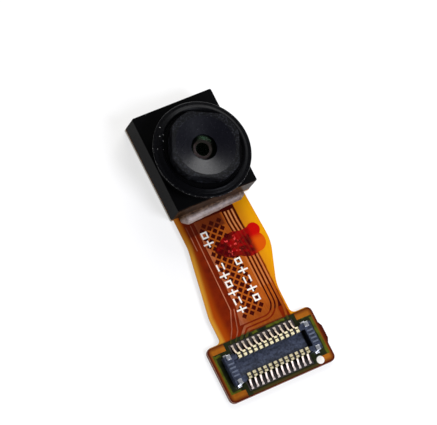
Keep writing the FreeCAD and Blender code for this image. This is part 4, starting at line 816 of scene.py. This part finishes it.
def make_lens_barrel(etched, polished):
    """Barrel with four flats on its head, a funnel and the stepped seats inside. The funnel is
    polished and all the rest etched."""
    top = high("lens_barrel").z
    bottom = low("lens_barrel").z
    shoulder = top - 0.70
    seat = top - 0.52
    floor = top - 0.40
    step = high("aperture_stop").z - 0.05
    head, body, funnel, aperture, ledge = high("lens_barrel").x, 2.36, 2.02, 0.863, 0.05
    flat, turn = 2.24, math.radians(-26.5)
    clearance = 0.01
    front = high("front_lens").x + clearance
    middle = high("middle_lens").x + clearance
    rear = high("rear_lens").x + clearance
    profile = [
        (front, step), (front, seat), (aperture, seat), (aperture, floor),
        (aperture + ledge, floor), (funnel, top), (head, top), (head, shoulder),
        (body, shoulder), (body, bottom), (rear, bottom), (rear, low("rear_lens").z),
        (rear, high("rear_lens").z), (middle, high("rear_lens").z), (middle, step),
    ]
    flat_places = (profile.index((head, top)), profile.index((head, shoulder)))

    def faceted(radius, angle, place):
        if place not in flat_places:
            return radius
        nearest = (angle - turn + math.pi / 4) % (math.pi / 2) - math.pi / 4
        return min(radius, flat / math.cos(nearest))

    mesh = lathe("lens_barrel_turned", profile, turns=256, shape=faceted)
    piece = new_piece("lens_barrel_turned", mesh, etched)
    mesh.materials.append(polished)
    for face in mesh.polygons:
        centre = Vector(face.center) / MM
        in_funnel = centre.xy.length < funnel and centre.z > seat
        face.material_index = 1 if in_funnel else 0
    soften(piece, 0.025, angle=24)
    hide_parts("lens_barrel")


def make_front_lens(material):
    """First element, with a smooth crown and a shallow hollow behind."""
    top = high("front_lens").z
    seat = top - 0.10
    bottom = low("front_lens").z
    radius = high("front_lens").x
    curve, clear, steps = 3.6, 0.80, 12
    reaches = [clear * i / steps for i in range(steps + 1)]
    crown = [(reach, top - curve + math.sqrt(curve ** 2 - reach ** 2)) for reach in reaches]
    hollow = [(0.60, bottom), (0.3, bottom + 0.045), (0.0, bottom + 0.06)]
    profile = crown + [(clear, seat), (radius, seat), (radius, bottom)] + hollow
    piece = new_piece("front_lens_polished", lathe("front_lens_polished", profile), material)
    smooth(piece, 25)
    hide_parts("front_lens")


def make_film_ridges(material):
    """Film standing proud over the tracks and over the mesh, with its shoulders rounded."""
    proud, end = 0.002, TAB_NEAR - 0.30
    rise = (RIDGE_TOP - high("ground_mesh").z + proud) * MM
    for node, name in (("signal_traces", "film_over_tracks"), ("ground_mesh", "film_over_mesh")):
        mesh = taken_from(node, keep=end)
        mesh.transform(Matrix.Translation((0, 0, rise)))
        piece = new_piece(name, mesh, material)
        soften(piece, 0.009, segments=2)


def make_adhesive_bead(material):
    """Bead of adhesive: a quarter-round section that swells and shrinks, and gets narrower and
    lower to the right. Both ends taper."""
    left, right = low("adhesive_bead").x, high("adhesive_bead").x
    steps, points = 96, 12
    wide_left, narrowing = 0.74, 0.30
    tall_left, sinking = 0.34, 0.08
    swell, waves_per_mm, wave_seed = 0.14, 1.7, 3.0
    end_size, end_slope = 0.25, 9
    bm = bmesh.new()
    rings = []
    for i in range(steps + 1):
        part = i / steps
        across = left + (right - left) * part
        end = min(1.0, end_slope * part + end_size, end_slope * (1 - part) + end_size)
        wave = 0.5 + 0.5 * noise.noise(Vector((across * waves_per_mm, 0.0, wave_seed)))
        width = (wide_left - narrowing * part) * (0.88 + swell * wave) * math.sqrt(end)
        tall = (tall_left - sinking * part) * (0.86 + swell * wave) * end
        ring = [bm.verts.new((across * MM, NECK_START * MM, FILM_TOP * MM))]
        for j in range(points + 1):
            angle = math.pi / 2 * j / points
            out = width * math.sin(angle) ** 0.9
            up = tall * math.cos(angle) ** 1.15
            ring.append(bm.verts.new((across * MM, (NECK_START - out) * MM,
                                      (FILM_TOP + up) * MM)))
        rings.append(ring)
    for here, following in zip(rings, rings[1:]):
        for j in range(len(here)):
            after = (j + 1) % len(here)
            bm.faces.new((here[j], here[after], following[after], following[j]))
    bm.faces.new(rings[0])
    bm.faces.new(list(reversed(rings[-1])))
    bmesh.ops.recalc_face_normals(bm, faces=bm.faces)
    mesh = new_mesh("adhesive_bead_run", bm)
    piece = new_piece("adhesive_bead_run", mesh, material)
    smooth(piece, 50)
    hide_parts("adhesive_bead")


def dress_nodes():
    """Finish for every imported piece, and the pieces that stand for packed ones."""
    polymer = moulded_black_polymer()
    rubber = moulded_silicone_rubber()
    barrel = etched_lens_polymer()
    glass = coated_lens_glass()
    foil = anodised_foil()
    header = moulded_header_polymer()
    contact = plated_contact()
    strip = tinned_strip()
    copper = rolled_copper()
    epoxy = cured_epoxy()
    steel = etched_steel()
    board = routed_glass_epoxy()
    white = printed_white_ink()

    plain = {
        "head_stiffener": steel, "connector_stiffener": board,
        "bottom_coverlay": polyimide_underside(), "bottom_traces": copper,
        "base_film": polyimide_carrier(), "signal_traces": copper, "ground_mesh": copper,
        "top_coverlay": polyimide_coverlay(), "solder_mask": photoimaged_resist(),
        "holder_adhesive": epoxy, "lens_holder": polymer, "sealing_ring": rubber,
        "lens_barrel": barrel, "front_lens": glass, "aperture_stop": foil,
        "middle_lens": glass, "lens_spacer": foil, "rear_lens": glass,
        "lens_retainer": foil, "infrared_filter": glass, "sensor_adhesive": epoxy,
        "image_sensor": polished_silicon(), "bond_wires": drawn_gold_wire(),
        "capacitors": sintered_ceramic(), "connector_housing": header,
        "contacts_head_side": contact, "contacts_end_side": contact,
        "fixing_nails": strip, "tail_solder": reflowed_solder(), "adhesive_bead": epoxy,
        "pin_one_dot": white, "ink_marks": white, "ink_blot": marker_red_ink(),
    }
    for name, material in plain.items():
        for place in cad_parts[name].material_slots:
            place.material = material

    make_sealing_ring(rubber)
    make_lens_barrel(barrel, polished_lens_polymer())
    make_front_lens(glass)
    make_film_ridges(polyimide_over_copper())
    make_adhesive_bead(epoxy)
    rounded = [
        ("lens_holder", polymer, "black_moulding", 0.020),
        ("head_stiffener", steel, "steel_plate", 0.010),
        ("connector_stiffener", board, "board_stiffener", 0.010),
        ("connector_housing", header, "connector_moulding", 0.014),
        ("contacts_head_side", contact, "gold_contact", 0.014),
        ("contacts_end_side", contact, "gold_contact", 0.014),
        ("fixing_nails", strip, "tinned_strip", 0.014),
        ("ink_marks", white, "white_ink", 0.004),
    ]
    for name, material, slot, width in rounded:
        dress(name, material, width)


# Floor, light and camera

def make_floor():
    """Pale floor: what the camera sees of it is nearly white and keeps the part's shadow."""
    bm = bmesh.new()
    bmesh.ops.create_grid(bm, x_segments=8, y_segments=8, size=0.6)
    mesh = new_mesh("floor", bm)
    floor = bpy.data.objects.new("floor", mesh)
    bpy.context.scene.collection.objects.link(floor)
    material, tree, place = start_material("pale_paper")
    tooth = add(tree, "TexNoise", {"Vector": place, "Scale": 1 / 3.0, **EVEN})
    colour = add(tree, "MixRGB", {"Fac": tooth, "Color1": "#FAF7F3", "Color2": "#FEFCF8"})
    paper = add(tree, "BsdfDiffuse", {"Color": colour})
    glow = add(tree, "Emission", {"Color": "#FFFFFF", "Strength": 1.0})
    path = add(tree, "LightPath")
    seen = add(tree, "Math", {0: path.outputs["Is Camera Ray"], 1: path.outputs["Is Glossy Ray"]},
               operation="MAXIMUM")
    seen = add(tree, "Math", {0: seen, 1: path.outputs["Is Transmission Ray"]},
               operation="MAXIMUM")
    glow_share = 0.70
    share = add(tree, "Math", {0: seen, 1: glow_share}, operation="MULTIPLY")
    both = add(tree, "MixShader", {0: share, 1: paper, 2: glow})
    add(tree, "OutputMaterial", {"Surface": both})
    mesh.materials.append(material)


def make_world():
    """Studio room: pale walls near the horizon and a dark ceiling over the camera."""
    world = bpy.data.worlds.new("studio")
    bpy.context.scene.world = world
    world.use_nodes = True
    tree = world.node_tree
    tree.nodes.clear()
    up = add(tree, "SeparateXYZ", {0: add(tree, "TexCoord").outputs["Generated"]})
    height = add(tree, "MapRange", {"Value": up.outputs["Z"], "From Min": 0.05,
                                    "From Max": 0.75, "To Min": 1.0, "To Max": 0.06},
                 interpolation_type="SMOOTHSTEP")
    room = add(tree, "Background", {"Color": "#F2F5FA", "Strength": height})
    white = add(tree, "Background", {"Color": "#FFFFFF", "Strength": 1.0})
    path = add(tree, "LightPath")
    both = add(tree, "MixShader", {0: path.outputs["Is Camera Ray"], 1: room, 2: white})
    add(tree, "OutputWorld", {"Surface": both})


def add_lamp(name, place, aim, width, power, colour):
    """Soft square lamp at a place, turned towards aim, both in millimetres."""
    lamp = bpy.data.lights.new(name, "AREA")
    lamp.size = width * MM
    lamp.energy = power
    lamp.color = linear(colour)[:3]
    holder = bpy.data.objects.new(name, lamp)
    bpy.context.scene.collection.objects.link(holder)
    holder.location = Vector(place) * MM
    way = Vector(aim) - Vector(place)
    holder.rotation_euler = way.to_track_quat("-Z", "Y").to_euler()


def make_camera():
    """Camera of the photograph, fitted to the corners of the block and of the tab."""
    eye = Vector((-77.9, -40.15, 180.4))
    right = Vector((0.8512, -0.4445, 0.2792))
    up = Vector((0.3500, 0.8770, 0.3294))
    back = right.cross(up).normalized()
    up = back.cross(right).normalized()
    turn = Matrix((right.normalized(), up, back)).transposed()
    camera = bpy.data.cameras.new("camera")
    camera.sensor_width = 36.0
    focal_pixels, frame_width = 3060.0, 437.0
    camera.lens = focal_pixels / frame_width * camera.sensor_width
    camera.clip_start = 0.01
    camera.clip_end = 10.0
    holder = bpy.data.objects.new("camera", camera)
    bpy.context.scene.collection.objects.link(holder)
    holder.matrix_world = Matrix.Translation(eye * MM) @ turn.to_4x4()
    bpy.context.scene.camera = holder


bpy.context.scene.view_settings.view_transform = "Standard"
dress_nodes()
make_floor()
make_world()
add_lamp("key", (200, 280, 190), (0, -5, 1), 300, 1.85, "#FFFFFF")
add_lamp("front_fill", (140, -200, 280), (0, -5, 1), 160, 1.35, "#EAEEFC")
make_camera()
